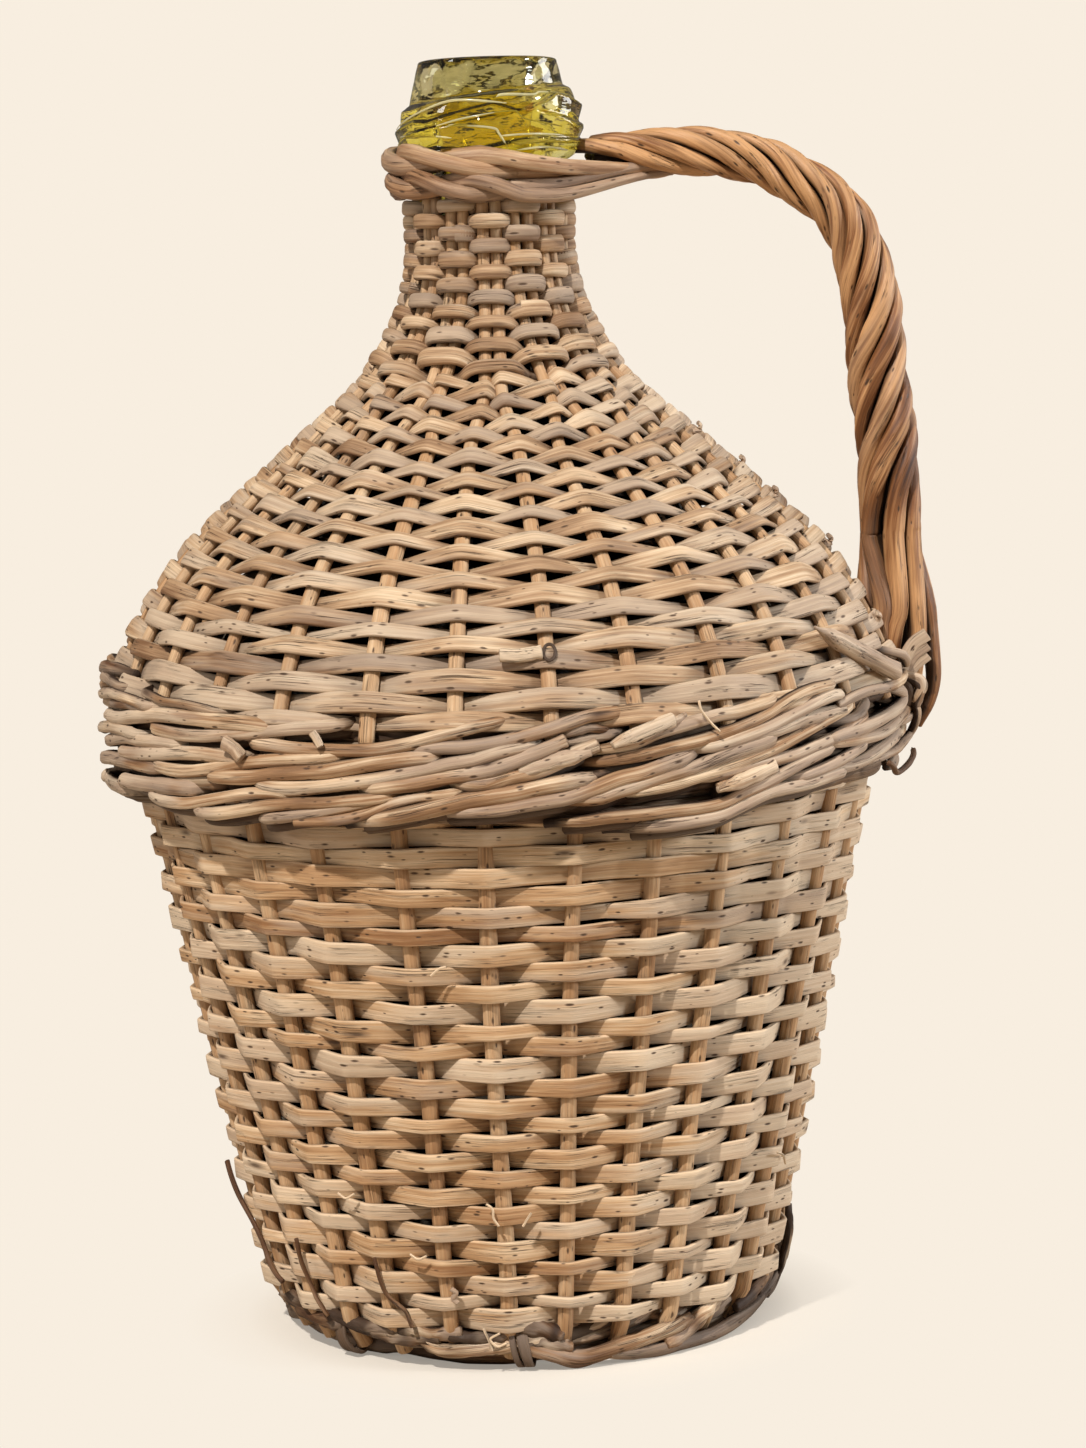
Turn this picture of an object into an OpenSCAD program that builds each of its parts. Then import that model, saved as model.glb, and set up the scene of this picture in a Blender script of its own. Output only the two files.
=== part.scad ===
// Wicker-covered demijohn. A blown glass bottle stands in a woven willow basket: a round base on a
// foot rod, an upright lower basket, a belt of roped rods at the widest place, and a second weave
// over the shoulder and up the neck. A roped handle runs from the collar at the neck to the belt.
// Millimetres, +Z up. The origin is on the bottle's axis, on the surface that the foot stands on.
// The handle lies in the XZ plane, on the +X side.

/* [Overall size] */
// Height of the rim above the floor
rim_z = 450; // [400:1:500]
// Distance from the axis to the outside of the belt
belt_r = 147; // [130:0.5:164]

/* [Glass bottle] */
// Radius of the bore in the mouth and neck
mouth_r = 17; // [14:0.5:18]
// Outer radius of the rim
rim_r = 24.3; // [22:0.1:26]
// Radius of the rounded edge of the rim
lip_round = 2.5; // [1:0.1:3]
// Outer radius of the mouth where it meets the string ring
finish_r = 27.6; // [26.5:0.1:29]
// Outer radius of the string ring, a thick thread of glass laid round the mouth
string_ring_r = 32; // [30:0.5:34]
// Height of the string ring
string_ring_h = 15; // [10:0.5:17]
// Thickness of the glass in the body
glass_wall = 3.6; // [2.5:0.1:5]
// Thickness of the glass in the neck
neck_wall = 3.2; // [2.2:0.1:4]
// Radius of the shoulder's round, on the outside of the glass
glass_shoulder_arc = 75; // [60:1:90]
// Radius of the round at the heel, where the wall meets the bottom
heel_arc = 18; // [8:1:24]
// Height of the kick, the hollow pushed up in the bottom
kick_h = 20; // [10:1:30]
// Radius of the kick at the bottom
kick_r = 50; // [40:1:56]

/* [Basket shape] */
// Radius of the circle of lower stakes, measured down at the floor
foot_r = 86.6; // [84:0.2:90]
// Distance from the tops of the lower stakes out to the outside of the belt
lower_stakes_in = 20.6; // [19:0.1:22]
// Distance from the upper stakes, at their widest, out to the outside of the belt
upper_stakes_in = 6.5; // [5.5:0.1:8]
// Distance from the rim down to the middle of the belt
belt_drop = 235; // [230:1:240]
// Distance from the middle of the belt down to the centre of the shoulder's round
shoulder_drop = 17; // [13:0.5:21]
// Radius of the upper stakes' round over the shoulder
shoulder_arc = 116; // [112:1:120]
// Radius of the upper stakes' hollow round below the neck
neck_arc = 75; // [68:1:80]
// Distance from the rim down to where the upper stakes stand upright at the neck
neck_drop = 62; // [59:0.5:66]
// Distance from the rim down to the top of the woven neck
neck_top_drop = 52.5; // [51:0.5:55]

/* [Stakes] */
// Number of stakes in the lower basket
lower_stake_count = 28; // [20:2:30]
// Direction of one lower stake, in degrees from the handle
lower_stake_a = -94.6; // [-180:0.1:180]
// Diameter of a lower stake
lower_stake_d = 5.4; // [4:0.1:6]
// Number of pairs of stakes in the upper basket
pair_count = 14; // [12:1:14]
// Direction of one pair of upper stakes, in degrees from the handle
first_pair_a = -91; // [-180:0.1:180]
// Diameter of an upper stake
upper_stake_d = 4; // [3:0.1:4.2]
// Gap between the two stakes of a pair at the neck
pair_gap = 0.3; // [0.2:0.1:0.6]

/* [Weavers] */
// Rows of flat split willow in the lower basket
side_rows = 21; // [16:1:24]
// Thickness of a lower weaver
side_t = 2; // [1.2:0.1:2.4]
// Rows of weaving over single stakes, on the shoulder
shoulder_rows = 21; // [16:1:22]
// Thickness of a shoulder weaver
shoulder_t = 2.4; // [1.6:0.1:2.6]
// Rows of weaving over pairs of stakes, on the neck
neck_rows = 14; // [10:1:15]
// Thickness of a neck weaver
neck_t = 2; // [1.4:0.1:2.2]
// Distance from the rim down to where the stakes draw together and are woven as pairs
pairs_drop = 113; // [105:1:116]
// Gap left between neighbouring rows
row_gap = 0.4; // [0.3:0.1:0.8]
// Clearance between pieces of willow, and between willow and glass
fit = 0.2; // [0.15:0.05:0.3]

/* [Base and foot] */
// Sticks in each half of the cross that the base is woven on
cross_sticks = 3; // [2:1:4]
// Diameter of the sticks that are split open
split_stick_d = 6.6; // [6.2:0.2:7.4]
// Diameter of the sticks that pass through the split ones
base_stick_d = 5; // [4:0.2:5]
// Diameter of a base weaver
base_weaver_d = 3.2; // [2.4:0.2:3.6]
// Rounds of weaving in the base
base_rounds = 7; // [4:1:8]
// Diameter of the rod that the foot stands on
foot_rod_d = 9; // [7:0.5:10]
// Depth of the flat worn under the foot rod
foot_flat = 0.5; // [0.3:0.1:1]
// Diameter of a rod in the pair roped round the foot
foot_wale_d = 5; // [4:0.2:6]
// Turns that each of these rods makes on the way round the foot
foot_turns = 8; // [5:1:10]
// Thickness of the strip that ties the foot rod
tie_t = 1.2; // [0.8:0.1:2]
// Width of this strip
tie_w = 5; // [3:0.5:8]

/* [Belt and collar] */
// Diameter of a rod in the belt
belt_rod_d = 6.8; // [6:0.1:7]
// Turns that each belt rod makes round its rope on the way round the basket
belt_turns = 7; // [5:1:9]
// Diameter of a rod in the collar
collar_rod_d = 5.1; // [4:0.1:5.3]
// Distance from the axis to the outside of the collar
collar_r = 35.8; // [35:0.2:37]
// Turns that each collar rod makes round its rope on the way round the neck
collar_turns = 4; // [3:1:5]

/* [Handle] */
// Diameter of a handle rod at the belt
handle_rod_d = 6.2; // [5:0.1:6.6]
// Diameter of the core at the belt
handle_core_d = 7.8; // [7.6:0.1:9]
// Size of the handle at the collar, as a share of its size at the belt
handle_taper = 0.8; // [0.7:0.05:1]
// Length of one turn of a handle rod
handle_pitch = 98; // [80:1:120]
// Distance from the rim down to the middle of the handle along its top
handle_drop = 37; // [34:0.5:39]
// Distance from the middle of the handle's foot out to the outside of the belt
handle_foot_in = 3.8; // [2:0.1:8]
// Radius of the handle's bend
handle_bend_r = 50; // [44:1:54]
// Outward lean of the handle below its bend, in degrees
handle_lean = 4.2; // [3:0.1:5]
// Number of rods that run on down the outside of the belt
tail_count = 2; // [1:1:3]
// Diameter of these tails
tail_d = 5.6; // [4:0.1:6]

/* [Hidden] */
willow = [0.70, 0.53, 0.33];
golden_willow = [0.76, 0.58, 0.34];
grey_willow = [0.62, 0.54, 0.43];
handle_willow = [0.66, 0.45, 0.25];
green_glass = [0.50, 0.52, 0.14];

// Steps of a swept rod in each turn of its rope, and sides of its section
rope_steps = 6;
rope_sides = 5;
handle_steps_a_turn = 9;
// Sides of an upper stake's section, and the hair by which its stretches lap
stake_sides = 6;
stake_lap = 0.02;
// Neck weavers stand upright where the stakes lean less than this, and lie on the slope below
upright_below_a = 24;
// Places of the ties round the foot rod, in degrees from the handle
foot_tie_at = [-75, 105, 225];
// Rods roped round the handle's core, one for each of their nodes
handle_rods = 6;

// Heights, measured down from the rim
belt_mid_z = rim_z - belt_drop;
shoulder_z = belt_mid_z - shoulder_drop;
neck_z = rim_z - neck_drop;
neck_top_z = rim_z - neck_top_drop;
pairs_z = rim_z - pairs_drop;
handle_top_z = rim_z - handle_drop;

// A rope of n rods: distance of each rod's middle from the rope's middle, and the rope's radius.
// The rods bend at each step, so they lie a little further out than smooth ones would.
function rope_c(d, n) = (d / 2 + fit / 2) / sin(180 / n) / cos(180 / rope_steps);
function rope_r(d, n) = rope_c(d, n) + d / 2;

// Distance that a weaver stands off its stake, from middle to middle
side_swing = lower_stake_d / 2 + fit + side_t / 2;
shoulder_swing = upper_stake_d / 2 + fit + shoulder_t / 2;
neck_swing = upper_stake_d / 2 + fit + neck_t / 2;

// The belt: its height, and the lower stakes that lean out to it from the foot
belt_rope_r = rope_r(belt_rod_d, 3);
belt_step = 2 * belt_rope_r + fit;
belt_top_z = belt_mid_z + belt_step + belt_rope_r;
belt_foot_z = belt_mid_z - belt_step - belt_rope_r;
side_to_z = belt_foot_z - fit;
side_slope = atan2(belt_r - lower_stakes_in - foot_r, side_to_z);

// Radius of the circle of lower stakes at height z
function stake_r(z) = foot_r + z * tan(side_slope);

// Neck of the glass, and the stakes round it, with room for one weaver between them
neck_glass_r = mouth_r + neck_wall;
neck_stand_off = neck_swing + neck_t / 2 + fit;
neck_stake_r = neck_glass_r + neck_stand_off;

// The line of an upper stake, as [radius, height]: a round over the shoulder, a straight stretch
// that touches both rounds, the hollow round and an upright end
shoulder_r = belt_r - upper_stakes_in;
shoulder_c = [shoulder_r - shoulder_arc, shoulder_z];
neck_c = [neck_stake_r + neck_arc, neck_z];
c_to_c = neck_c - shoulder_c;
tangent_a = atan2(c_to_c[1], c_to_c[0]) - acos((shoulder_arc + neck_arc) / norm(c_to_c));
straight_from = shoulder_c + shoulder_arc * [cos(tangent_a), sin(tangent_a)];
straight_to = neck_c - neck_arc * [cos(tangent_a), sin(tangent_a)];
straight_l = norm(straight_to - straight_from);

// Heights, stacked from the floor up
foot_rod_z = foot_rod_d / 2 - foot_flat;
foot_wale_r = rope_r(foot_wale_d, 2);
foot_wale_z = foot_rod_z + foot_rod_d / 2 + fit + foot_wale_r;
side_from_z = foot_wale_z + foot_wale_r + fit;
side_pitch = (side_to_z - side_from_z) / side_rows;
side_h = side_pitch - row_gap;

// Rings of the foot. The rope sits under the lower stakes, the rod a little further in.
foot_wale_ring_r = stake_r(foot_wale_z);
foot_rod_ring_r = foot_wale_ring_r - foot_rod_d / 2;

// The lower weavers stand upright against leaning stakes, so they swing a little further
side_lean = side_h / 2 * tan(side_slope);
side_reach = side_swing / cos(side_slope) + side_lean;
glass_side_r = foot_r - side_reach - side_t / 2 - side_lean - fit;

// Base: split sticks with the others through them, and a weaver above and below both
base_r = foot_wale_ring_r - foot_wale_r - fit;
base_z = foot_rod_z + foot_rod_d / 2 + fit + base_weaver_d / 2;
stick_step = split_stick_d + 3;
base_rise = split_stick_d / 2 + fit + base_weaver_d / 2;
glass_z = base_z + base_rise + base_weaver_d / 2 + fit;

// The two stakes of a pair lie in upright planes that pass close by the axis, so that they are
// evenly spread at the shoulder and side by side at the neck
pair_a = 360 / pair_count;
neck_half_a = asin((upper_stake_d + pair_gap) / 2 / neck_stake_r);
plane_off = (pair_a / 4 - neck_half_a) * PI / 180 / (1 / neck_stake_r - 1 / shoulder_r);
plane_a = pair_a / 4 + asin(plane_off / shoulder_r);
function half_pair_a(r) = plane_a - asin(plane_off / r);

// Distance s along an upper stake from the belt gives [radius, height, angle of the normal]
upper_from_a = asin((belt_top_z + fit - shoulder_z) / shoulder_arc);
s_round = (tangent_a - upper_from_a) * PI / 180 * shoulder_arc;
s_straight = s_round + straight_l;
s_hollow = s_straight + tangent_a * PI / 180 * neck_arc;
s_top = s_hollow + neck_top_z - neck_z;
s_pairs = s_straight + (tangent_a - asin((neck_z - pairs_z) / neck_arc)) * PI / 180 * neck_arc;
function on_round(a) = concat(shoulder_c + shoulder_arc * [cos(a), sin(a)], a);
function on_hollow(a) = concat(neck_c - neck_arc * [cos(a), sin(a)], a);
function along(s) =
    s < s_round ? on_round(upper_from_a + s / shoulder_arc * 180 / PI)
    : s < s_straight ? concat(straight_from + (s - s_round) / straight_l
        * (straight_to - straight_from), tangent_a)
    : s < s_hollow ? on_hollow(tangent_a - (s - s_straight) / neck_arc * 180 / PI)
    : [neck_stake_r, neck_z + s - s_hollow, 0];

// A weaver that turns at each stake reaches further out, so that its slanting stretches clear
// the stakes too. The gap is the distance between the stakes.
function turn_reach(swing, gap) = swing / sqrt(1 - 4 * swing * swing / (gap * gap));
// Half the width that a weaver passes flat before it slants across a gap
function flat_half(swing, gap) = gap / 2 - sqrt(gap * gap / 4 - swing * swing);

// Single stakes are closest where they draw together
function narrow_gap(r) = 2 * r * sin(min(half_pair_a(r), pair_a / 2 - half_pair_a(r)));
shoulder_reach = turn_reach(shoulder_swing, narrow_gap(along(s_pairs)[0]));
shoulder_stand_off = shoulder_reach + shoulder_t / 2 + fit;

// Points of a round of radius r about c, from angle a0 to a1, in n steps
function round_points(c, r, a0, a1, n) =
    [for (i = [0:n]) let (a = a0 + (a1 - a0) * i / n) c + r * [cos(a), sin(a)]];

// Closed outline moved sideways by d, to the left of its direction, with mitred corners
function unit(v) = v / norm(v);
function left(v) = [-v[1], v[0]];
function moved(p, d) = [for (i = [0:len(p) - 1])
    let (a = left(unit(p[i] - p[(i + len(p) - 1) % len(p)])),
         b = left(unit(p[(i + 1) % len(p)] - p[i])))
    p[i] + d * (a + b) / (1 + a * b)];

// Solid through rings of points that have the same number of sides and turn the same way
module sweep(rings, closed = false) {
    n = len(rings[0]);
    m = len(rings);
    walls = [for (i = [0:(closed ? m : m - 1) - 1], j = [0:n - 1])
        let (a = i * n + j, b = i * n + (j + 1) % n,
             c = (i + 1) % m * n + (j + 1) % n, d = (i + 1) % m * n + j)
        each [[a, b, c], [a, c, d]]];
    start = [for (j = [1:n - 2]) [0, j + 1, j]];
    end = [for (j = [1:n - 2]) [(m - 1) * n, (m - 1) * n + j, (m - 1) * n + j + 1]];
    polyhedron([for (r = rings) each r], concat(walls, closed ? [] : concat(start, end)));
}

// Ring of points round p, square to the direction, with one point turned away from out
function ring(p, direction, out, r, sides) =
    let (t = unit(direction), u = unit(out - (out * t) * t), v = cross(t, u))
    [for (i = [0:sides - 1]) p - r * (cos(360 * i / sides) * u - sin(360 * i / sides) * v)];

// Horizontal closed rope: n rods that each turn round the rope's middle line
module rope_ring(ring_r, z, d, n, turns) {
    c = rope_c(d, n);
    function at(a, q) = let (r = ring_r + c * cos(q)) [r * cos(a), r * sin(a), z + c * sin(q)];
    for (k = [0:n - 1]) {
        sweep([for (i = [0:turns * rope_steps - 1])
            let (a = 360 * i / turns / rope_steps, q = 360 * k / n + turns * a,
                 ahead = at(a + 1, q + turns), behind = at(a - 1, q - turns))
            ring(at(a, q), ahead - behind, [cos(a), sin(a), 0], d / 2, rope_sides)],
            closed = true);
    }
}

// Weaver that stands on edge round a ring of crossings. Every other crossing is passed outside.
// A crossing is an angle and the angle to each side that is passed flat.
module upright_row(r, z, h, t, reach, crossings, first) {
    middle = [for (i = [0:len(crossings) - 1], side = [-1, 1])
        let (a = crossings[i][0] + side * crossings[i][1],
             rr = r + ((i + first) % 2 == 0 ? reach : -reach))
        rr * [cos(a), sin(a)]];
    translate([0, 0, z - h / 2])
        linear_extrude(height = h)
            difference() {
                polygon(moved(middle, -t / 2));
                polygon(moved(middle, t / 2));
            }
}

// Weaver that lies on a slope. The place is [radius, height, angle of the normal], and the turns
// are [angle, distance along the normal].
module leaning_row(place, w, t, turns) {
    normal = [cos(place[2]), sin(place[2])];
    across = left(normal);
    sweep([for (turn = turns)
        [for (corner = [[-1, -1], [1, -1], [1, 1], [-1, 1]])
            let (p = [place[0], place[1]] + (turn[1] + corner[0] * t / 2) * normal
                     + corner[1] * w / 2 * across)
            [p[0] * cos(turn[0]), p[0] * sin(turn[0]), p[1]]]],
        closed = true);
}

// Middle of the glass shoulder's round: it touches the side below and the slope above
slope_n = [cos(tangent_a), sin(tangent_a)];
side_n = [cos(side_slope), -sin(side_slope)];
to_slope = (straight_from - shoulder_stand_off * slope_n) * slope_n - glass_shoulder_arc;
to_side = [glass_side_r, 0] * side_n - glass_shoulder_arc;
glass_c = [to_slope * side_n[1] - to_side * slope_n[1], to_side * slope_n[0] - to_slope * side_n[0]]
    / (slope_n[0] * side_n[1] - slope_n[1] * side_n[0]);

// Throat of the glass: the hollow round carries on down from the neck, inside and outside
throat_arc = neck_arc + shoulder_stand_off;
throat_a = acos((neck_c[0] - neck_glass_r) / throat_arc);
bore_arc = throat_arc + glass_wall;
bore_a = acos((neck_c[0] - mouth_r) / bore_arc);

// String ring above the collar, and the neck that flares to it inside the collar
collar_rope_r = rope_r(collar_rod_d, 2);
collar_ring_r = collar_r - collar_rope_r;
collar_lower_z = neck_top_z + fit + collar_rope_r;
collar_upper_z = collar_lower_z + 2 * collar_rope_r + fit;
string_ring_z = collar_upper_z + collar_rope_r + fit;
flare_r = collar_ring_r - collar_rope_r - fit;

// Heel and kick of the glass
heel_c = [glass_side_r + (glass_z + heel_arc) * tan(side_slope) - heel_arc / cos(side_slope),
    glass_z + heel_arc];
kick_arc = (kick_r * kick_r + kick_h * kick_h) / (2 * kick_h);
kick_c = [0, glass_z + kick_h - kick_arc];
function kick_end_a(wall) = asin((glass_z + wall - kick_c[1]) / (kick_arc + wall));

module glass_bottle() {
    bead = string_ring_h / 2;
    outside = concat(
        round_points(kick_c, kick_arc, 90, kick_end_a(0), 8),
        round_points(heel_c, heel_arc, -90, -side_slope, 6),
        round_points(glass_c, glass_shoulder_arc, -side_slope, tangent_a, 14),
        round_points(neck_c, throat_arc, 180 + tangent_a, 180 + throat_a, 9),
        [[neck_glass_r, neck_top_z], [flare_r, string_ring_z]],
        round_points([string_ring_r - bead, string_ring_z + bead], bead, -90, 90, 10),
        [[finish_r, string_ring_z + string_ring_h]],
        round_points([rim_r - lip_round, rim_z - lip_round], lip_round, 0, 90, 4));
    inside = concat(
        round_points([mouth_r + lip_round, rim_z - lip_round], lip_round, 90, 180, 4),
        round_points(neck_c, bore_arc, 180 + bore_a, 180 + tangent_a, 9),
        round_points(glass_c, glass_shoulder_arc - glass_wall, tangent_a, -side_slope, 14),
        round_points(heel_c, heel_arc - glass_wall, -side_slope, -90, 6),
        round_points(kick_c, kick_arc + glass_wall, kick_end_a(glass_wall), 90, 8));
    color(green_glass) rotate_extrude($fn = 96) polygon(concat(outside, inside));
}

// Sticks side by side right across the base
module stick_group(d) {
    for (i = [0:cross_sticks - 1]) {
        y = (i - (cross_sticks - 1) / 2) * stick_step;
        translate([0, y, base_z + base_rise]) rotate([0, 90, 0])
            cylinder(d = d, h = 2 * sqrt(base_r * base_r - y * y), center = true, $fn = 24);
    }
}

// The thicker sticks are split open in the middle, and the others pass through them
module base_sticks() {
    color(willow) {
        difference() {
            rotate([0, 0, 90]) stick_group(split_stick_d);
            stick_group(base_stick_d + 2 * fit);
        }
        stick_group(base_stick_d);
    }
}

module ring_rod(r, z, d) {
    translate([0, 0, z]) rotate_extrude($fn = 72) translate([r, 0]) circle(d = d, $fn = 24);
}

// Two weavers cross between the sticks, so each round shows one above and one below
module base_weave() {
    inner_r = cross_sticks * stick_step;
    pitch = (base_r - base_weaver_d / 2 - inner_r) / base_rounds;
    color(willow)
        for (i = [1:base_rounds], side = [-1, 1])
            ring_rod(inner_r + i * pitch, base_z + base_rise + side * base_rise, base_weaver_d);
}

// The foot rod is worn flat where it stands
module foot_rod() {
    color(grey_willow)
        difference() {
            ring_rod(foot_rod_ring_r, foot_rod_z, foot_rod_d);
            translate([0, 0, -foot_rod_d]) cylinder(r = 2 * foot_r, h = foot_rod_d);
        }
}

module foot_wale() {
    color(grey_willow) rope_ring(foot_wale_ring_r, foot_wale_z, foot_wale_d, 2, foot_turns);
}

// A strip tied round the foot rod, with its ends tucked up behind the rope
module foot_tie() {
    tie_in_r = foot_rod_d / 2 + fit;
    color(grey_willow)
        for (a = foot_tie_at)
            rotate([0, 0, a]) translate([foot_rod_ring_r, 0, foot_rod_z]) rotate([90, 0, 0])
                difference() {
                    cylinder(r = tie_in_r + tie_t, h = tie_w, center = true, $fn = 48);
                    cylinder(r = tie_in_r, h = 2 * tie_w, center = true, $fn = 48);
                    translate([0, -2 * foot_rod_d, 0])
                        cube([4 * foot_rod_d, 4 * foot_rod_d, 2 * tie_w], center = true);
                    translate([0, foot_rod_d / 2 + 2 * foot_rod_d, 0])
                        cube([4 * foot_rod_d, 4 * foot_rod_d, 2 * tie_w], center = true);
                }
}

// Straight stakes that lean out from the foot to the belt
module lower_stakes() {
    length = (side_to_z - side_from_z) / cos(side_slope);
    color(willow)
        intersection() {
            for (i = [0:lower_stake_count - 1])
                rotate([0, 0, lower_stake_a + 360 * i / lower_stake_count])
                    translate([stake_r(side_from_z), 0, side_from_z])
                        rotate([0, side_slope, 0]) translate([0, 0, -lower_stake_d])
                            cylinder(d = lower_stake_d, h = length + 2 * lower_stake_d, $fn = 24);
            translate([0, 0, side_from_z])
                cylinder(r = shoulder_r, h = side_to_z - side_from_z, $fn = 72);
        }
}

// Flat split willow, in front of every other stake and behind the next
module lower_siding() {
    color(golden_willow)
        for (row = [0:side_rows - 1]) {
            z = side_from_z + (row + 0.5) * side_pitch;
            r = stake_r(z);
            gap = 2 * r * sin(180 / lower_stake_count);
            flat = asin(flat_half(side_reach, gap) / r);
            upright_row(r, z, side_h, side_t, side_reach,
                [for (i = [0:lower_stake_count - 1])
                    [lower_stake_a + 360 * i / lower_stake_count, flat]], row);
        }
}

module belt_wale(z) {
    color(grey_willow)
        rope_ring(belt_r - belt_rope_r, z, belt_rod_d, 3, belt_turns);
}
module belt_lower_wale() belt_wale(belt_mid_z - belt_step);
module belt_middle_wale() belt_wale(belt_mid_z);
module belt_upper_wale() belt_wale(belt_mid_z + belt_step);

// Stretches of a stake, in its own upright plane: part of a round, and a straight one that laps
// over the rounds by a hair
module stake_round(c, r, a0, a1) {
    translate([c[0], 0, c[1]]) rotate([90, 0, 0]) rotate([0, 0, a0])
        rotate_extrude(angle = a1 - a0, $fn = 96)
            translate([r, 0]) circle(d = upper_stake_d, $fn = stake_sides);
}
module stake_straight(from, lean, length) {
    translate([from[0], 0, from[1]]) rotate([0, -lean, 0]) translate([0, 0, -stake_lap])
        cylinder(d = upper_stake_d, h = length + stake_lap, $fn = stake_sides);
}
module upper_stake() {
    stake_round(shoulder_c, shoulder_arc, upper_from_a, tangent_a);
    stake_straight(straight_from, tangent_a, straight_l + stake_lap);
    stake_round(neck_c, neck_arc, 180, 180 + tangent_a);
    stake_straight([neck_stake_r, neck_z], 0, neck_top_z - neck_z);
}
module upper_stakes() {
    color(willow)
        for (i = [0:pair_count - 1], side = [-1, 1])
            rotate([0, 0, first_pair_a + i * pair_a + side * plane_a])
                translate([0, -side * plane_off, 0]) upper_stake();
}

// Weavers over single stakes, from the belt to the place where the stakes draw together
module shoulder_siding() {
    pitch = s_pairs / shoulder_rows;
    color(willow)
        for (row = [0:shoulder_rows - 1]) {
            place = along((row + 0.5) * pitch);
            half = half_pair_a(place[0]);
            reach = turn_reach(shoulder_swing, narrow_gap(place[0]));
            leaning_row(place, pitch - row_gap, shoulder_t,
                [for (i = [0:pair_count - 1], side = [0, 1])
                    [first_pair_a + i * pair_a + (2 * side - 1) * half,
                        (row + side) % 2 == 0 ? reach : -reach]]);
        }
}

// Weavers over pairs of stakes, up the neck
module neck_siding() {
    pitch = (s_top - s_pairs) / neck_rows;
    color(willow)
        for (row = [0:neck_rows - 1]) {
            place = along(s_pairs + (row + 0.5) * pitch);
            half = half_pair_a(place[0]);
            gap = 2 * place[0] * sin(pair_a / 2 - half);
            flat = half + asin(flat_half(neck_swing, gap) / place[0]);
            if (place[2] < upright_below_a)
                upright_row(place[0], place[1], (pitch - row_gap) * cos(place[2]), neck_t,
                    neck_swing,
                    [for (i = [0:pair_count - 1]) [first_pair_a + i * pair_a, flat]], row);
            else
                leaning_row(place, pitch - row_gap, neck_t,
                    [for (i = [0:pair_count - 1], side = [-1, 1])
                        [first_pair_a + i * pair_a + side * flat,
                            (row + i) % 2 == 0 ? neck_swing : -neck_swing]]);
        }
}

module collar(z) {
    color(handle_willow) rope_ring(collar_ring_r, z, collar_rod_d, 2, collar_turns);
}
module collar_lower() collar(collar_lower_z);
module collar_upper() collar(collar_upper_z);

// Distance s along the middle of the handle gives [x, z, angle below level]
handle_from_x = collar_r + fit;
handle_turn = 90 - handle_lean;
handle_bend_l = handle_turn * PI / 180 * handle_bend_r;
bend_end_z = handle_top_z - handle_bend_r + handle_bend_r * cos(handle_turn);
bend_end_x = belt_r - handle_foot_in - (bend_end_z - belt_top_z) * tan(handle_lean);
bend_end = [bend_end_x, bend_end_z];
bend_c = bend_end - handle_bend_r * [sin(handle_turn), cos(handle_turn)];
handle_top_l = bend_c[0] - handle_from_x;
handle_l = handle_top_l + handle_bend_l
    + (bend_end[1] - belt_top_z - fit) / sin(handle_turn) - handle_core_d / 2;
function handle_at(s) =
    s < handle_top_l ? [handle_from_x + s, handle_top_z, 0]
    : s < handle_top_l + handle_bend_l
        ? let (a = (s - handle_top_l) / handle_bend_r * 180 / PI)
            concat(bend_c + handle_bend_r * [sin(a), cos(a)], a)
    : concat(bend_end + (s - handle_top_l - handle_bend_l)
        * [cos(handle_turn), -sin(handle_turn)], handle_turn);
function handle_size(s) = handle_taper + (1 - handle_taper) * s / handle_l;

module handle_core() {
    steps = 20;
    color(handle_willow)
        sweep([for (i = [0:steps])
            let (s = handle_l * i / steps, p = handle_at(s))
            ring([p[0], 0, p[1]], [cos(p[2]), 0, -sin(p[2])], [0, 1, 0],
                handle_core_d / 2 * handle_size(s), 8)]);
}

// One rod roped round the core. The turns are evenly spaced along the handle.
handle_rod_c = (handle_core_d / 2 + fit + handle_rod_d / 2) / cos(180 / handle_steps_a_turn);
function handle_rod_at(s, phase) =
    let (p = handle_at(s), q = phase - 360 * s / handle_pitch,
         c = handle_rod_c * handle_size(s), out = c * cos(q))
    [p[0] + out * sin(p[2]), c * sin(q), p[1] + out * cos(p[2])];
module handle_rod(k) {
    steps = ceil(handle_l / handle_pitch * handle_steps_a_turn);
    phase = 360 * k / handle_rods;
    color(handle_willow)
        sweep([for (i = [0:steps])
            let (s = handle_l * i / steps, p = handle_at(s),
                 ahead = handle_rod_at(s + 1, phase), behind = handle_rod_at(s - 1, phase),
                 here = handle_rod_at(s, phase))
            ring(here, ahead - behind, here - [p[0], 0, p[1]],
                handle_rod_d / 2 * handle_size(s), rope_sides)]);
}
module handle_rod_1() handle_rod(0);
module handle_rod_2() handle_rod(1);
module handle_rod_3() handle_rod(2);
module handle_rod_4() handle_rod(3);
module handle_rod_5() handle_rod(4);
module handle_rod_6() handle_rod(5);

// Ends of handle rods that run on down the outside of the belt
module handle_tails() {
    tail_r = belt_r + fit + tail_d / 2;
    color(handle_willow)
        for (i = [0:tail_count - 1]) {
            a = (i - (tail_count - 1) / 2) * (tail_d + fit) / tail_r * 180 / PI;
            low_z = belt_foot_z + tail_d / 2 + i * tail_d;
            rotate([0, 0, a]) translate([tail_r, 0, low_z]) {
                sphere(d = tail_d, $fn = 24);
                cylinder(d = tail_d, h = belt_top_z - low_z, $fn = 24);
                translate([0, 0, belt_top_z - low_z]) sphere(d = tail_d, $fn = 24);
            }
        }
}

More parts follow.
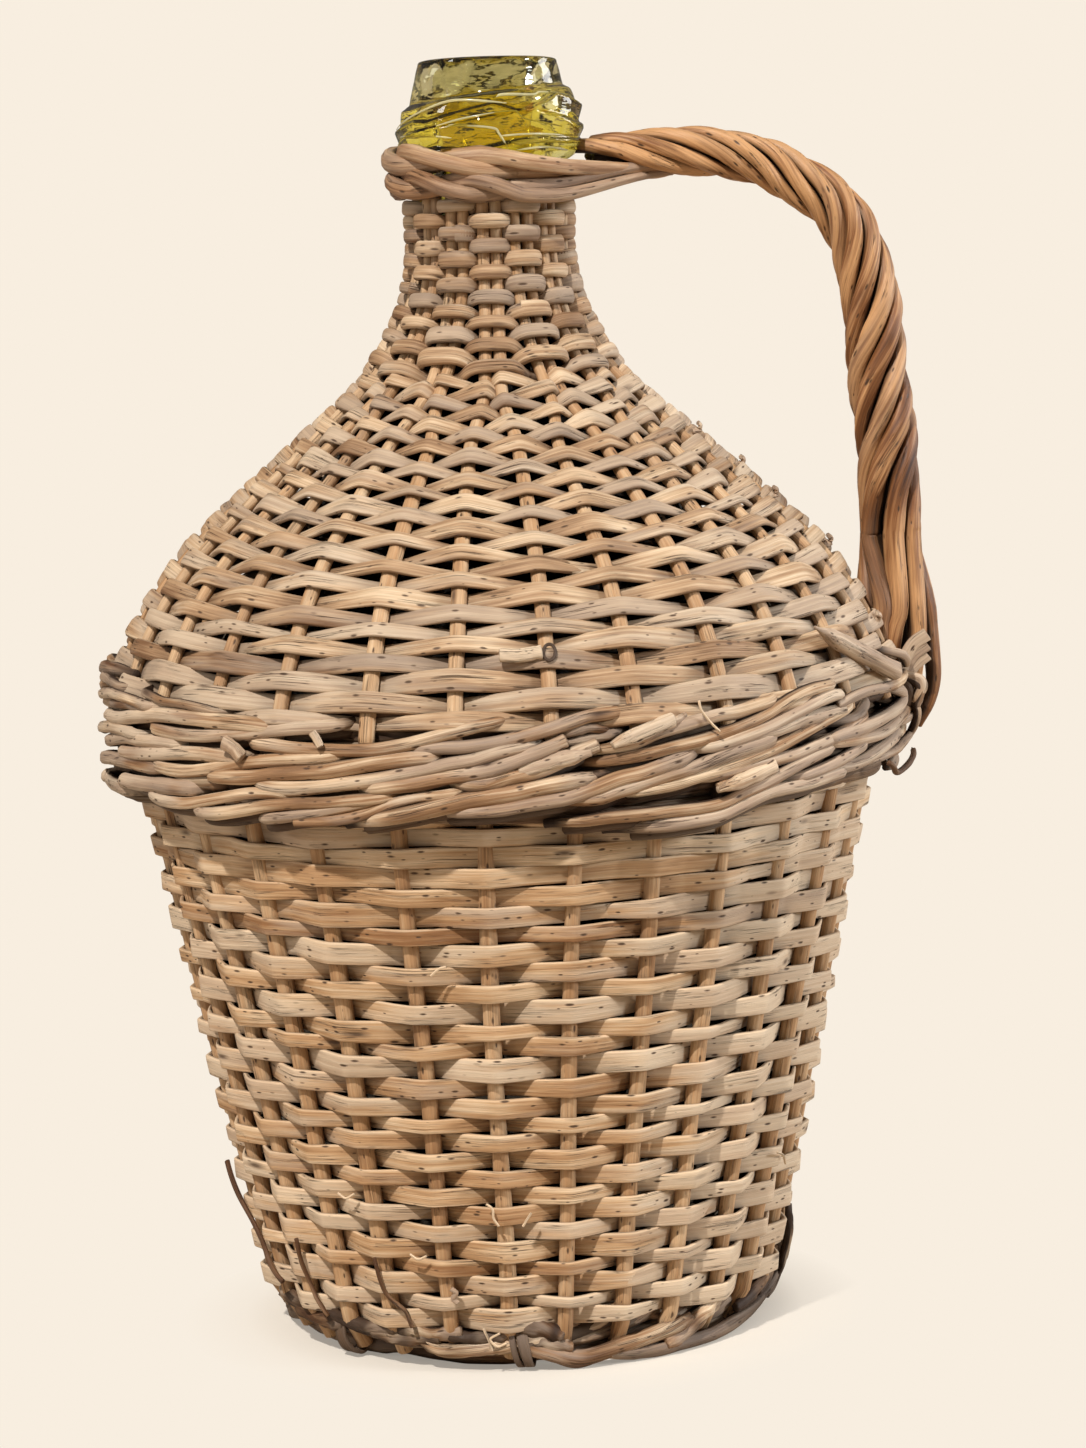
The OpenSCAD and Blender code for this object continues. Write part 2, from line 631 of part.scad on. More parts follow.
glass_bottle();
base_sticks();
base_weave();
foot_rod();
foot_wale();
foot_tie();
lower_stakes();
lower_siding();
belt_lower_wale();
belt_middle_wale();
belt_upper_wale();
upper_stakes();
shoulder_siding();
neck_siding();
collar_lower();
collar_upper();
handle_core();
handle_rod_1();
handle_rod_2();
handle_rod_3();
handle_rod_4();
handle_rod_5();
handle_rod_6();
handle_tails();
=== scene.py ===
# Dressed model of a wicker-covered demijohn. Lengths are in millimetres until a mesh is made.
import math

import bpy
import numpy as np
from mathutils import Matrix, Vector


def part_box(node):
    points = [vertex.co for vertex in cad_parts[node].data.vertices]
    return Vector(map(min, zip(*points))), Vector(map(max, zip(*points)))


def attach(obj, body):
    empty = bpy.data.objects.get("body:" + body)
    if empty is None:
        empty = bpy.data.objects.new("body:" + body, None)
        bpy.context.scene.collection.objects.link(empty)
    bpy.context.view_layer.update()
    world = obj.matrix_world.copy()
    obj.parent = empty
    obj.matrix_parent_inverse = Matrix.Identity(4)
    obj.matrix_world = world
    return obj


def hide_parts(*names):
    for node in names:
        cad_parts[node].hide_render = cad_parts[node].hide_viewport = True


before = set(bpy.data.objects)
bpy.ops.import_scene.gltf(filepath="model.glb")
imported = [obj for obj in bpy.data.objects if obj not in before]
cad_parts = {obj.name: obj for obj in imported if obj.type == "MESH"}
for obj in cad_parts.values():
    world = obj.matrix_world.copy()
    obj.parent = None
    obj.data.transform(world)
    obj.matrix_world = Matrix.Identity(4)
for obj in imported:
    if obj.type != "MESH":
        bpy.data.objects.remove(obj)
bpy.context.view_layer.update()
MM = 0.001
TURN = 2 * math.pi
rng = np.random.default_rng(7)


def node_mm(node):
    """Lowest and highest corners of a CAD node, in millimetres."""
    low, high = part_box(node)
    return np.array(low) / MM, np.array(high) / MM


# Places taken from the frame
BELT_FOOT_Z = node_mm("belt_lower_wale")[0][2]
BELT_TOP_Z = node_mm("belt_upper_wale")[1][2]
BELT_R = -node_mm("belt_middle_wale")[0][1]
NECK_TOP_Z = node_mm("neck_siding")[1][2]
RIM_Z = node_mm("glass_bottle")[1][2]
GLASS_Z = node_mm("glass_bottle")[0][2]
COLLAR_Z = [node_mm(node)[0][2] / 2 + node_mm(node)[1][2] / 2
            for node in ("collar_lower", "collar_upper")]

# The lower stakes' cone and the upper stakes' profile, as in the frame
FOOT_R = 86.6
SIDE_SLOPE = math.radians(11.8)
LOWER_STAKES = 28
LOWER_PHASE = math.radians(-93.0)
PAIRS = 14
PAIR_PHASE = math.radians(-89.8)
SHOULDER_C = np.array([24.5, 198.0])
SHOULDER_ARC = 116.0
NECK_C = np.array([99.6, 388.0])
NECK_ARC = 75.0
TANGENT_A = math.radians(47.64)


# Camera at the photograph's viewing angle. Its frame is 1086 by 1448 pixels.
CAMERA_PLACE = Vector((0.0135, -1.38, 0.370))
CAMERA_PITCH = math.radians(6.47)
CAMERA_ROLL = math.radians(-1.78)
FOCAL_PIXELS = 3859
FRAME_WIDTH = 1086
FRAME_HEIGHT = 1448


def camera_turn():
    look = Vector((0.0, math.cos(CAMERA_PITCH), -math.sin(CAMERA_PITCH)))
    return look.to_track_quat("-Z", "Y").to_matrix() @ Matrix.Rotation(CAMERA_ROLL, 3, "Z")


def add_camera():
    data = bpy.data.cameras.new("camera")
    data.sensor_fit = "VERTICAL"
    data.sensor_height = 24.0
    data.lens = FOCAL_PIXELS / FRAME_HEIGHT * data.sensor_height
    camera = bpy.data.objects.new("camera", data)
    camera.location = CAMERA_PLACE
    camera.rotation_euler = camera_turn().to_euler()
    bpy.context.scene.collection.objects.link(camera)
    bpy.context.scene.camera = camera


def seen_at(px, py, radius_at):
    """Point of a round surface, in mm, that the photograph shows at a pixel."""
    ray = camera_turn() @ Vector((px - FRAME_WIDTH / 2, FRAME_HEIGHT / 2 - py, -FOCAL_PIXELS))
    ray = np.array(ray.normalized())
    reach = np.linspace(1150.0, 1560.0, 1200)[:, None]
    points = np.array(CAMERA_PLACE) / MM + reach * ray
    off = np.hypot(points[:, 0], points[:, 1]) - radius_at(points[:, 2])
    inside = np.nonzero(off <= 0)[0]
    return points[inside[0] if len(inside) else int(np.argmin(off))]


def seen_round(pixels, radius_at, n):
    """Radius, angle and height of a smooth path over a round surface through pixels of the
    photograph. A pixel beside the surface gives a place just beyond it."""
    points = np.array([seen_at(px, py, radius_at) for px, py in pixels])
    beyond = np.hypot(points[:, 0], points[:, 1]) - radius_at(points[:, 2])
    angle = through(np.arctan2(points[:, 1], points[:, 0]), n)
    z = through(points[:, 2], n)
    return radius_at(z) + np.maximum(through(beyond, n), 0.0), angle, z


def seen_path(pixels, radius_at, n=40, lift=0.0):
    """Smooth path over a round surface through pixels of the photograph, raised by lift."""
    r, angle, z = seen_round(pixels, radius_at, n)
    return polar(r + lift, angle, z), angle


def on_plane(pixels, depth):
    """Points of the plane y = depth, in mm, that the photograph shows at the pixels."""
    start = np.array(CAMERA_PLACE) / MM
    points = []
    for px, py in pixels:
        ray = camera_turn() @ Vector((px - FRAME_WIDTH / 2, FRAME_HEIGHT / 2 - py, -FOCAL_PIXELS))
        ray = np.array(ray.normalized())
        points.append(start + ray * (depth - start[1]) / ray[1])
    return np.array(points)


def through(values, n):
    """n samples of a smooth curve through the values."""
    values = np.asarray(values, float)
    ends = (2 * values[:1] - values[1:2], values, 2 * values[-1:] - values[-2:-1])
    knots = np.concatenate(ends)
    x = np.linspace(0, len(values) - 1, n)
    i = np.minimum(x.astype(int), len(values) - 2)
    t = (x - i).reshape((-1,) + (1,) * (values.ndim - 1))
    p0, p1, p2, p3 = knots[i], knots[i + 1], knots[i + 2], knots[i + 3]
    return 0.5 * (2 * p1 + (p2 - p0) * t + (2 * p0 - 5 * p1 + 4 * p2 - p3) * t ** 2
                  + (3 * p1 - p0 - 3 * p2 + p3) * t ** 3)


def stake_r(z):
    return FOOT_R + z * math.tan(SIDE_SLOPE)


def glass_r(z):
    """Outside of the glass between its foot and its shoulder."""
    z = np.asarray(z, float)
    wall = 79.8 + (z - 33.0) * (123.2 - 79.8) / (178.7 - 33.0)
    swell = 49.6 + np.sqrt(np.clip(75.0 ** 2 - (z - 193.0) ** 2, 0.0, None))
    return np.where(z < 178.7, wall, swell)


def smooth(x):
    x = np.clip(x, 0.0, 1.0)
    return x * x * (3.0 - 2.0 * x)


def wander(n, scale, amount, closed=False):
    """Smooth random curve of n samples, with about n / scale bends."""
    k = max(4, int(round(n / scale)))
    knots = rng.normal(0.0, amount, k)
    if closed:
        knots = np.concatenate([knots, knots[:4]])
        x = np.linspace(0.0, k, n, endpoint=False)
    else:
        knots = np.concatenate([knots, rng.normal(0.0, amount, 4)])
        x = np.linspace(0.0, k, n)
    i = np.minimum(x.astype(int), len(knots) - 4)
    t = x - i
    p0, p1, p2, p3 = knots[i], knots[i + 1], knots[i + 2], knots[i + 3]
    return ((1 - t) ** 3 * p0 + (3 * t ** 3 - 6 * t ** 2 + 4) * p1
            + (-3 * t ** 3 + 3 * t ** 2 + 3 * t + 1) * p2 + t ** 3 * p3) / 6 * 1.6


def unit(v):
    return v / np.maximum(np.linalg.norm(v, axis=-1, keepdims=True), 1e-9)


# Sections of a strand, as (across, out) points from -1 to 1, going round
def round_section(sides=10):
    a = np.linspace(0.0, TURN, sides, endpoint=False)
    return np.stack([np.cos(a), np.sin(a)], 1)


def half_round_section(sides=14, inside=0.55, square=0.8):
    """A rod with a flattened inner side."""
    a = np.linspace(0.0, TURN, sides, endpoint=False)
    x = np.sign(np.cos(a)) * np.abs(np.cos(a)) ** square
    y = np.sign(np.sin(a)) * np.abs(np.sin(a)) ** square
    return np.stack([x, np.where(y < 0, y * inside, y)], 1)


# A split strip: a flat face with narrow bevels, and a plain back
SPLIT_SECTION = np.array([
    (1.0, -0.5), (1.0, 0.45), (0.965, 0.8), (0.89, 0.95), (0.42, 1.0), (-0.42, 1.0),
    (-0.89, 0.95), (-0.965, 0.8), (-1.0, 0.45), (-1.0, -0.5), (-0.8, -0.9), (0.8, -0.9)])


class Bundle:
    """Swept strands that become one mesh, with attributes for the grain, the tone and weathering,
    the painted shade and the painted edge highlight.
    """

    def __init__(self, name):
        self.name = name
        self.co, self.grain, self.look, self.rim, self.faces = [], [], [], [], []
        self.count = 0

    def strand(self, path, out, width, thick, section, roll=0.0, closed=False, tone=0.0,
               grey=0.0, deep=0.0, ridges=0.0, under=0.0, edges=0.0):
        """width and thick are half sizes, numbers or one per ring. ridges is a share of thick,
        under is how much painted shade darkens the inner side, and edges how strongly one edge
        is painted pale as a highlight and the other painted dark as shade."""
        n, m = len(path), len(section)
        if closed:
            along = np.roll(path, -1, 0) - np.roll(path, 1, 0)
            step = np.linalg.norm(path - np.roll(path, 1, 0), axis=1)
        else:
            along = np.gradient(path, axis=0)
            step = np.concatenate([[0], np.linalg.norm(np.diff(path, axis=0), axis=1)])
        along = unit(along)
        out = np.broadcast_to(out, path.shape)
        side = unit(np.cross(out, along))
        up = np.cross(along, side)
        roll = np.broadcast_to(roll, n)[:, None]
        side, up = (side * np.cos(roll) + up * np.sin(roll),
                    up * np.cos(roll) - side * np.sin(roll))
        u = np.cumsum(step)
        swell = np.ones((n, m))
        if ridges:
            lobes = rng.normal(0.0, ridges, (max(4, n // 10) + 4, m))
            place = np.linspace(0.0, len(lobes) - 2.001, n)
            low = place.astype(int)
            part = smooth(place - low)[:, None]
            swell += lobes[low] * (1 - part) + lobes[low + 1] * part
        x = np.broadcast_to(width, n)[:, None] * section[None, :, 0] * swell
        y = np.broadcast_to(thick, n)[:, None] * section[None, :, 1] * swell
        co = path[:, None, :] + x[..., None] * side[:, None, :] + y[..., None] * up[:, None, :]
        seed = rng.uniform(-400, 400, 3)
        grain = np.stack([np.broadcast_to(u[:, None], x.shape), x, y], -1) + seed
        look = np.stack([np.broadcast_to(np.broadcast_to(v, n)[:, None], x.shape)
                         for v in (tone, grey, deep)], -1)
        # Painted shade: under darkens the strand's inner side as if it lay in shade
        look[..., 2] = np.maximum(look[..., 2], under * smooth((0.35 - section[:, 1]) / 0.9))
        # rim: where one edge gets a painted highlight and the other painted shade, scaled by edges
        rim = np.broadcast_to(edges * section[None, :, 0], x.shape).copy()
        i = np.arange(n if closed else n - 1)[:, None]
        j = np.arange(m)[None, :]
        a, b = i * m + j, i * m + (j + 1) % m
        c, d = ((i + 1) % n) * m + (j + 1) % m, ((i + 1) % n) * m + j
        quads = np.stack([a, b, c, d], -1).reshape(-1, 4) + self.count
        self.faces.extend(quads.tolist())
        self.keep(co, grain, look, rim)
        first = self.count
        self.count += n * m
        if not closed:
            for end, sign in ((0, -1.0), (n - 1, 1.0)):
                depth = np.broadcast_to(thick, n)[end]
                self.cap(first + end * m, co[end], along[end] * sign, depth, grain[end],
                         look[end], sign)

    def keep(self, co, grain, look, rim):
        self.co.append(co.reshape(-1, 3))
        self.grain.append(grain.reshape(-1, 3))
        self.look.append(look.reshape(-1, 3))
        self.rim.append(np.ravel(rim))

    def cap(self, start, ring, away, depth, grain, look, sign):
        """Close a strand's end with a bevel and a flat cut."""
        m = len(ring)
        inner = ring.mean(0) + (ring - ring.mean(0)) * 0.74 + away * 0.22 * depth
        base = self.count
        for k in range(m):
            quad = [start + k, base + k, base + (k + 1) % m, start + (k + 1) % m]
            self.faces.append(quad if sign < 0 else quad[::-1])
        cut = [base + k for k in range(m)]
        self.faces.append(cut[::-1] if sign < 0 else cut)
        dark = look.copy()
        dark[:, 2] = np.maximum(dark[:, 2], 0.2)
        self.keep(inner, grain + [0.0, 0.0, 30.0], dark, np.zeros(m))
        self.count += m

    def build(self, material, slot, *nodes):
        mesh = bpy.data.meshes.new(self.name)
        mesh.from_pydata((np.concatenate(self.co) * MM).tolist(), [], self.faces)
        for name, data in (("grain", self.grain), ("look", self.look)):
            attribute = mesh.attributes.new(name, "FLOAT_VECTOR", "POINT")
            attribute.data.foreach_set("vector", np.concatenate(data).astype(np.float32).ravel())
        attribute = mesh.attributes.new("rim", "FLOAT", "POINT")
        attribute.data.foreach_set("value", np.concatenate(self.rim).astype(np.float32))
        return finish_piece(mesh, self.name, material, nodes)


def finish_piece(mesh, name, material, nodes):
    mesh.shade_smooth()
    mesh.materials.append(material)
    mesh.update()
    piece = bpy.data.objects.new(name, mesh)
    bpy.context.scene.collection.objects.link(piece)
    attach(piece, "root")
    if nodes:
        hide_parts(*nodes)
    return piece


def srgb(*rgb):
    """Linear colour from 0-255 screen values."""
    c = np.array(rgb) / 255.0
    return tuple(np.where(c <= 0.04045, c / 12.92, ((c + 0.055) / 1.055) ** 2.4)) + (1.0,)


class Nodes:
    """Short way to write a shader's node tree."""

    def __init__(self, tree):
        self.tree = tree
        self.tree.nodes.clear()

    def add(self, kind, inputs=None, **settings):
        node = self.tree.nodes.new(kind)
        for key, value in settings.items():
            setattr(node, key, value)
        for key, value in (inputs or {}).items():
            if isinstance(value, bpy.types.NodeSocket):
                self.tree.links.new(value, node.inputs[key])
            else:
                node.inputs[key].default_value = value
        return node

    def ramp(self, value, stops):
        node = self.add("ShaderNodeValToRGB", {"Fac": value})
        elements = node.color_ramp.elements
        while len(elements) > 1:
            elements.remove(elements[-1])
        for i, (place, colour) in enumerate(stops):
            element = elements[0] if i == 0 else elements.new(place)
            element.position = place
            element.color = colour if isinstance(colour, tuple) else (colour, colour, colour, 1)
        return node.outputs["Color"]

    def maths(self, operation, a, b=0.0, clamp=False):
        node = self.add("ShaderNodeMath", {0: a, 1: b}, operation=operation, use_clamp=clamp)
        return node.outputs[0]

    def mix(self, fac, a, b, blend="MIX"):
        node = self.add("ShaderNodeMix", {"Factor": fac}, data_type="RGBA", blend_type=blend)
        for socket, value in ((6, a), (7, b)):
            if isinstance(value, bpy.types.NodeSocket):
                self.tree.links.new(value, node.inputs[socket])
            else:
                node.inputs[socket].default_value = value
        return node.outputs[2]

    def scaled(self, vector, scale):
        node = self.add("ShaderNodeVectorMath", {0: vector, 1: scale}, operation="MULTIPLY")
        return node.outputs[0]

    def noise(self, vector, scale, detail=3.0, roughness=0.55):
        node = self.add("ShaderNodeTexNoise", {"Vector": self.scaled(vector, scale), "Scale": 1.0,
                                               "Detail": detail, "Roughness": roughness})
        return node.outputs["Fac"]

    def cells(self, vector, scale):
        """Distance to the nearest cell centre, by the cell's own size, and its random number."""
        node = self.add("ShaderNodeTexVoronoi", {"Vector": self.scaled(vector, scale),
                                                 "Scale": 1.0, "Randomness": 1.0})
        pick = self.add("ShaderNodeSeparateXYZ", {0: node.outputs["Color"]})
        size = self.maths("MULTIPLY", pick.outputs[1], 1.1)
        size = self.maths("ADD", size, 0.45)
        return self.maths("DIVIDE", node.outputs["Distance"], size), pick.outputs[0]


def willow(name, brown, tan, pale, grey, greyness=0.35, cracks=0.5, specks=0.6, rough=0.6,
           streaky=1.0):
    """Peeled willow: lengthwise grain, grey weather, cracks, specks, knots, with painted light:
    a highlight painted on one edge, shade painted on the other edge and in deep places,
    and a paler, greyer lit side.
    """
    material = bpy.data.materials.new(name)
    material.use_nodes = True
    n = Nodes(material.node_tree)
    grain = n.add("ShaderNodeAttribute", attribute_name="grain").outputs["Vector"]
    look = n.add("ShaderNodeAttribute", attribute_name="look").outputs["Vector"]
    rim = n.add("ShaderNodeAttribute", attribute_name="rim").outputs["Fac"]
    parts = n.add("ShaderNodeSeparateXYZ", {0: look})
    tone, grey_part, deep = parts.outputs[0], parts.outputs[1], parts.outputs[2]
    streaks = n.noise(grain, (0.02, 0.8, 0.8), 4.0)
    fibres = n.noise(grain, (0.09, 3.2, 3.2), 3.0, 0.65)
    broad = n.noise(grain, (0.03, 0.1, 0.1), 2.0)
    patches = n.noise(grain, (0.022, 0.25, 0.25), 3.0)
    tinted = n.maths("MULTIPLY", n.maths("SUBTRACT", streaks, 0.5), 0.8 * streaky)
    tinted = n.maths("ADD", tinted, n.maths("MULTIPLY", n.maths("SUBTRACT", broad, 0.5), 0.7))
    tinted = n.maths("ADD", n.maths("ADD", tinted, 0.5), n.maths("MULTIPLY", tone, 0.07))
    colour = n.ramp(tinted, [(0.2, brown), (0.46, tan), (0.7, pale)])
    fine = n.ramp(fibres, [(0.30, 0.76), (0.52, 1.0), (0.75, 1.07)])
    colour = n.mix(1.0, colour, fine, "MULTIPLY")
    # Grey weather patches, plus the grey attribute, which also carries the painted paler, greyer lit side
    # from paler()
    weather_and_painted_light = n.maths("ADD", patches, n.maths("MULTIPLY", grey_part, 0.25))
    weather_and_painted_light = n.ramp(weather_and_painted_light, [(0.45, 0.0), (0.70, 1.0)])
    colour = n.mix(n.maths("MULTIPLY", weather_and_painted_light, greyness), colour, grey)
    # Painted highlight along one edge of each strand and painted shade along the other, from rim
    painted_edge_highlight = n.ramp(rim, [(0.80, 0.0), (0.93, 0.45)])
    colour = n.mix(painted_edge_highlight, colour, pale)
    painted_edge_shade = n.ramp(n.maths("MULTIPLY", rim, -1.0), [(0.86, 0.0), (0.98, 0.45)])
    colour = n.mix(painted_edge_shade, colour, srgb(92, 62, 38))
    crack_noise = n.noise(grain, (0.022, 1.5, 1.5), 2.0, 0.4)
    crack = n.ramp(n.maths("ABSOLUTE", n.maths("SUBTRACT", crack_noise, 0.5)),
                   [(0.0, 1.0), (0.012, 0.5), (0.028, 0.0)])
    crack_mask = n.ramp(n.noise(grain, (0.04, 0.25, 0.25), 2.0), [(0.54, 0.0), (0.62, 1.0)])
    crack = n.maths("MULTIPLY", crack, crack_mask)
    colour = n.mix(n.maths("MULTIPLY", crack, cracks), colour, srgb(62, 42, 28))
    distance, pick = n.cells(grain, (0.2, 0.6, 0.6))
    speck = n.ramp(distance, [(0.12, 1.0), (0.24, 0.0)])
    speck = n.maths("MULTIPLY", speck, n.ramp(pick, [(0.62, 0.0), (0.66, 1.0)]))
    colour = n.mix(n.maths("MULTIPLY", speck, specks), colour, srgb(74, 52, 36))
    distance, pick = n.cells(grain, (0.032, 0.11, 0.11))
    knot = n.ramp(distance, [(0.03, 1.0), (0.07, 0.55), (0.13, 0.0)])
    knot = n.maths("MULTIPLY", knot, n.ramp(pick, [(0.52, 0.0), (0.58, 1.0)]))
    colour = n.mix(n.maths("MULTIPLY", knot, 0.85), colour, srgb(70, 48, 34))
    # Painted shade: deep darkens crevices, inner sides, passes behind stakes and rods lying behind others;
    # a few truly dark bits, such as a bark ring, use it too
    colour = n.mix(deep, colour, srgb(52, 34, 21))
    height = n.maths("ADD", n.maths("MULTIPLY", streaks, 0.7), n.maths("MULTIPLY", fibres, 0.35))
    height = n.maths("SUBTRACT", height, n.maths("MULTIPLY", crack, 0.9))
    height = n.maths("SUBTRACT", height, n.maths("MULTIPLY", speck, 0.3))
    height = n.maths("SUBTRACT", height, n.maths("MULTIPLY", knot, 0.5))
    bump = n.add("ShaderNodeBump", {"Strength": 0.8, "Distance": 0.0006, "Height": height})
    roughness = n.ramp(streaks, [(0.3, rough + 0.12), (0.7, rough - 0.06)])
    shader = n.add("ShaderNodeBsdfPrincipled", {
        "Base Color": colour, "Roughness": roughness, "Normal": bump.outputs[0],
        "Specular IOR Level": 0.35})
    n.add("ShaderNodeOutputMaterial", {"Surface": shader.outputs[0]})
    return material


# Materials
SPLIT = willow("split_willow", srgb(150, 106, 68), srgb(194, 153, 111), srgb(224, 194, 158),
               srgb(204, 187, 166), greyness=0.5, cracks=0.8, specks=0.95)
ROUND = willow("round_willow", srgb(120, 86, 58), srgb(178, 143, 108), srgb(220, 192, 158),
               srgb(184, 167, 148), greyness=0.5, cracks=0.9, specks=0.9)
STAKE = willow("stake_willow", srgb(132, 90, 56), srgb(184, 142, 101), srgb(214, 180, 141),
               srgb(176, 156, 132), greyness=0.3, specks=0.9, streaky=0.7)
RODS = willow("rod_willow", srgb(98, 63, 37), srgb(162, 123, 87), srgb(226, 198, 164),
              srgb(186, 168, 150), greyness=0.5, cracks=1.0, specks=0.95)
COLLAR = willow("collar_willow", srgb(104, 68, 43), srgb(166, 126, 91), srgb(210, 177, 142),
                srgb(172, 154, 136), greyness=0.35, cracks=1.0, specks=0.9, rough=0.5)
HANDLE = willow("handle_willow", srgb(56, 28, 13), srgb(130, 83, 47), srgb(204, 154, 106),
                srgb(150, 126, 104), greyness=0.3, cracks=1.0, specks=0.95, rough=0.42)


# Profile of the upper stakes by the distance along them from the belt
UPPER_FROM_A = math.asin((BELT_TOP_Z + 0.2 - SHOULDER_C[1]) / SHOULDER_ARC)
STRAIGHT_FROM = SHOULDER_C + SHOULDER_ARC * np.array([math.cos(TANGENT_A), math.sin(TANGENT_A)])
STRAIGHT_TO = NECK_C - NECK_ARC * np.array([math.cos(TANGENT_A), math.sin(TANGENT_A)])
STRAIGHT_L = np.linalg.norm(STRAIGHT_TO - STRAIGHT_FROM)
S_ROUND = (TANGENT_A - UPPER_FROM_A) * SHOULDER_ARC
S_STRAIGHT = S_ROUND + STRAIGHT_L
S_HOLLOW = S_STRAIGHT + TANGENT_A * NECK_ARC
S_TOP = S_HOLLOW + NECK_TOP_Z - NECK_C[1]
S_PAIRS = S_STRAIGHT + 6.3
NECK_STAKE_R = NECK_C[0] - NECK_ARC


def upper_line(s):
    """Radius, height and lean of the normal at distance s along an upper stake."""
    s = np.asarray(s, float)
    a = np.where(s < S_ROUND, UPPER_FROM_A + s / SHOULDER_ARC,
                 np.where(s < S_STRAIGHT, TANGENT_A,
                          np.clip(TANGENT_A - (s - S_STRAIGHT) / NECK_ARC, 0.0, TANGENT_A)))
    t = np.clip((s - S_ROUND) / STRAIGHT_L, 0.0, 1.0)
    r = np.where(s < S_ROUND, SHOULDER_C[0] + SHOULDER_ARC * np.cos(a),
                 np.where(s < S_STRAIGHT, STRAIGHT_FROM[0] + t * (STRAIGHT_TO - STRAIGHT_FROM)[0],
                          NECK_C[0] - NECK_ARC * np.cos(a)))
    z = np.where(s < S_ROUND, SHOULDER_C[1] + SHOULDER_ARC * np.sin(a),
                 np.where(s < S_STRAIGHT, STRAIGHT_FROM[1] + t * (STRAIGHT_TO - STRAIGHT_FROM)[1],
                          NECK_C[1] - NECK_ARC * np.sin(a) + np.maximum(s - S_HOLLOW, 0.0)))
    return r, z, a


def upper_lift(s):
    """How far the upper stakes' middle line is carried out, by the swell of the rods."""
    return 2.3 - 1.3 * smooth((np.asarray(s, float) - S_ROUND) / 70.0)


def polar(r, a, z):
    return np.stack([r * np.cos(a), r * np.sin(a), np.broadcast_to(z, np.shape(r * a))], -1)


def normals(a, lean):
    """Outward normal at angle a round the axis, leaning up by lean."""
    return np.stack([np.cos(lean) * np.cos(a), np.cos(lean) * np.sin(a),
                     np.sin(lean) * np.ones_like(a)], -1)


# Each stake has its own small offset, which the weavers follow
lower_jitter = rng.normal(0.0, math.radians(0.45), LOWER_STAKES)
lower_angles = LOWER_PHASE + np.arange(LOWER_STAKES) * TURN / LOWER_STAKES + lower_jitter
upper_jitter = rng.normal(0.0, math.radians(0.7), 2 * PAIRS)
EVEN_HALF = math.pi / 2 / PAIRS
PAIR_HALF_GAP = 2.2
DRAW_L = 34.0


def upper_angles(s):
    """Angles of the upper stakes at distance s, drawn together as pairs near the neck."""
    r, _, _ = upper_line(s)
    together = smooth((s - (S_PAIRS - DRAW_L)) / DRAW_L)
    half = (1 - together) * EVEN_HALF + together * np.arcsin(PAIR_HALF_GAP / r)
    centre = PAIR_PHASE + np.arange(PAIRS) * TURN / PAIRS
    both = np.stack([centre - half, centre + half], 1).ravel()
    return both + upper_jitter * (1 - 0.8 * together)


def crossing_number(angles, a):
    """Place of the angle a among the stakes: whole numbers are stakes."""
    n = len(angles)
    known = np.concatenate([angles - TURN, angles, angles + TURN, angles + 2 * TURN])
    return np.interp(a, known, np.arange(-n, 3 * n))


def swing(number, crisp):
    """Straight passes from one side of the stakes to the other, with a fold at each stake."""
    return np.arcsin(crisp * np.cos(math.pi * number)) / math.asin(crisp)


def row_ends(n, length):
    """From 0 at both ends of a weaver to 1 in its middle."""
    return smooth(np.minimum(np.arange(n), np.arange(n)[::-1]) / length)


def lower_stakes():
    bundle = Bundle("lower_stakes_willow")
    section = round_section(12)
    n = 40
    z = np.linspace(5.0, BELT_FOOT_Z + 18.0, n)
    for a in lower_angles:
        d = rng.uniform(2.7, 3.2)
        r = stake_r(z) + wander(n, 12, 0.2) - 4.5 * smooth((17.0 - z) / 12.0)
        path = polar(r, a + wander(n, 14, 0.4) / 100.0, z)
        bundle.strand(path, normals(np.full(n, a), -SIDE_SLOPE), d * (1 + wander(n, 6, 0.03)),
                      d * 0.95, section, tone=rng.normal(0.4, 0.6), grey=rng.uniform(-0.8, 0.0))
    return bundle.build(STAKE, "stakes", "lower_stakes")


SIDE_ROWS = 28
SIDE_FROM_Z = 16.0
TABLE = 1200


def wavy_edges(places, amount):
    """One closed height curve for each edge between rows, as functions of the angle."""
    waves = [wander(TABLE, 45, amount, closed=True) for _ in places]
    return [place + wave for place, wave in zip(places, waves)]


def at_angle(table, a):
    x = (a / TURN * TABLE) % TABLE
    return np.interp(x, np.arange(TABLE + 1), np.append(table, table[0]))


def paler(a):
    """Painted light: the basket is painted paler and greyer on its right side, where the cool light
    falls, and a little on its left.
    """
    return 1.5 * smooth((np.cos(a) - 0.2) / 0.6) + 0.4 * smooth((-np.cos(a) - 0.3) / 0.6)


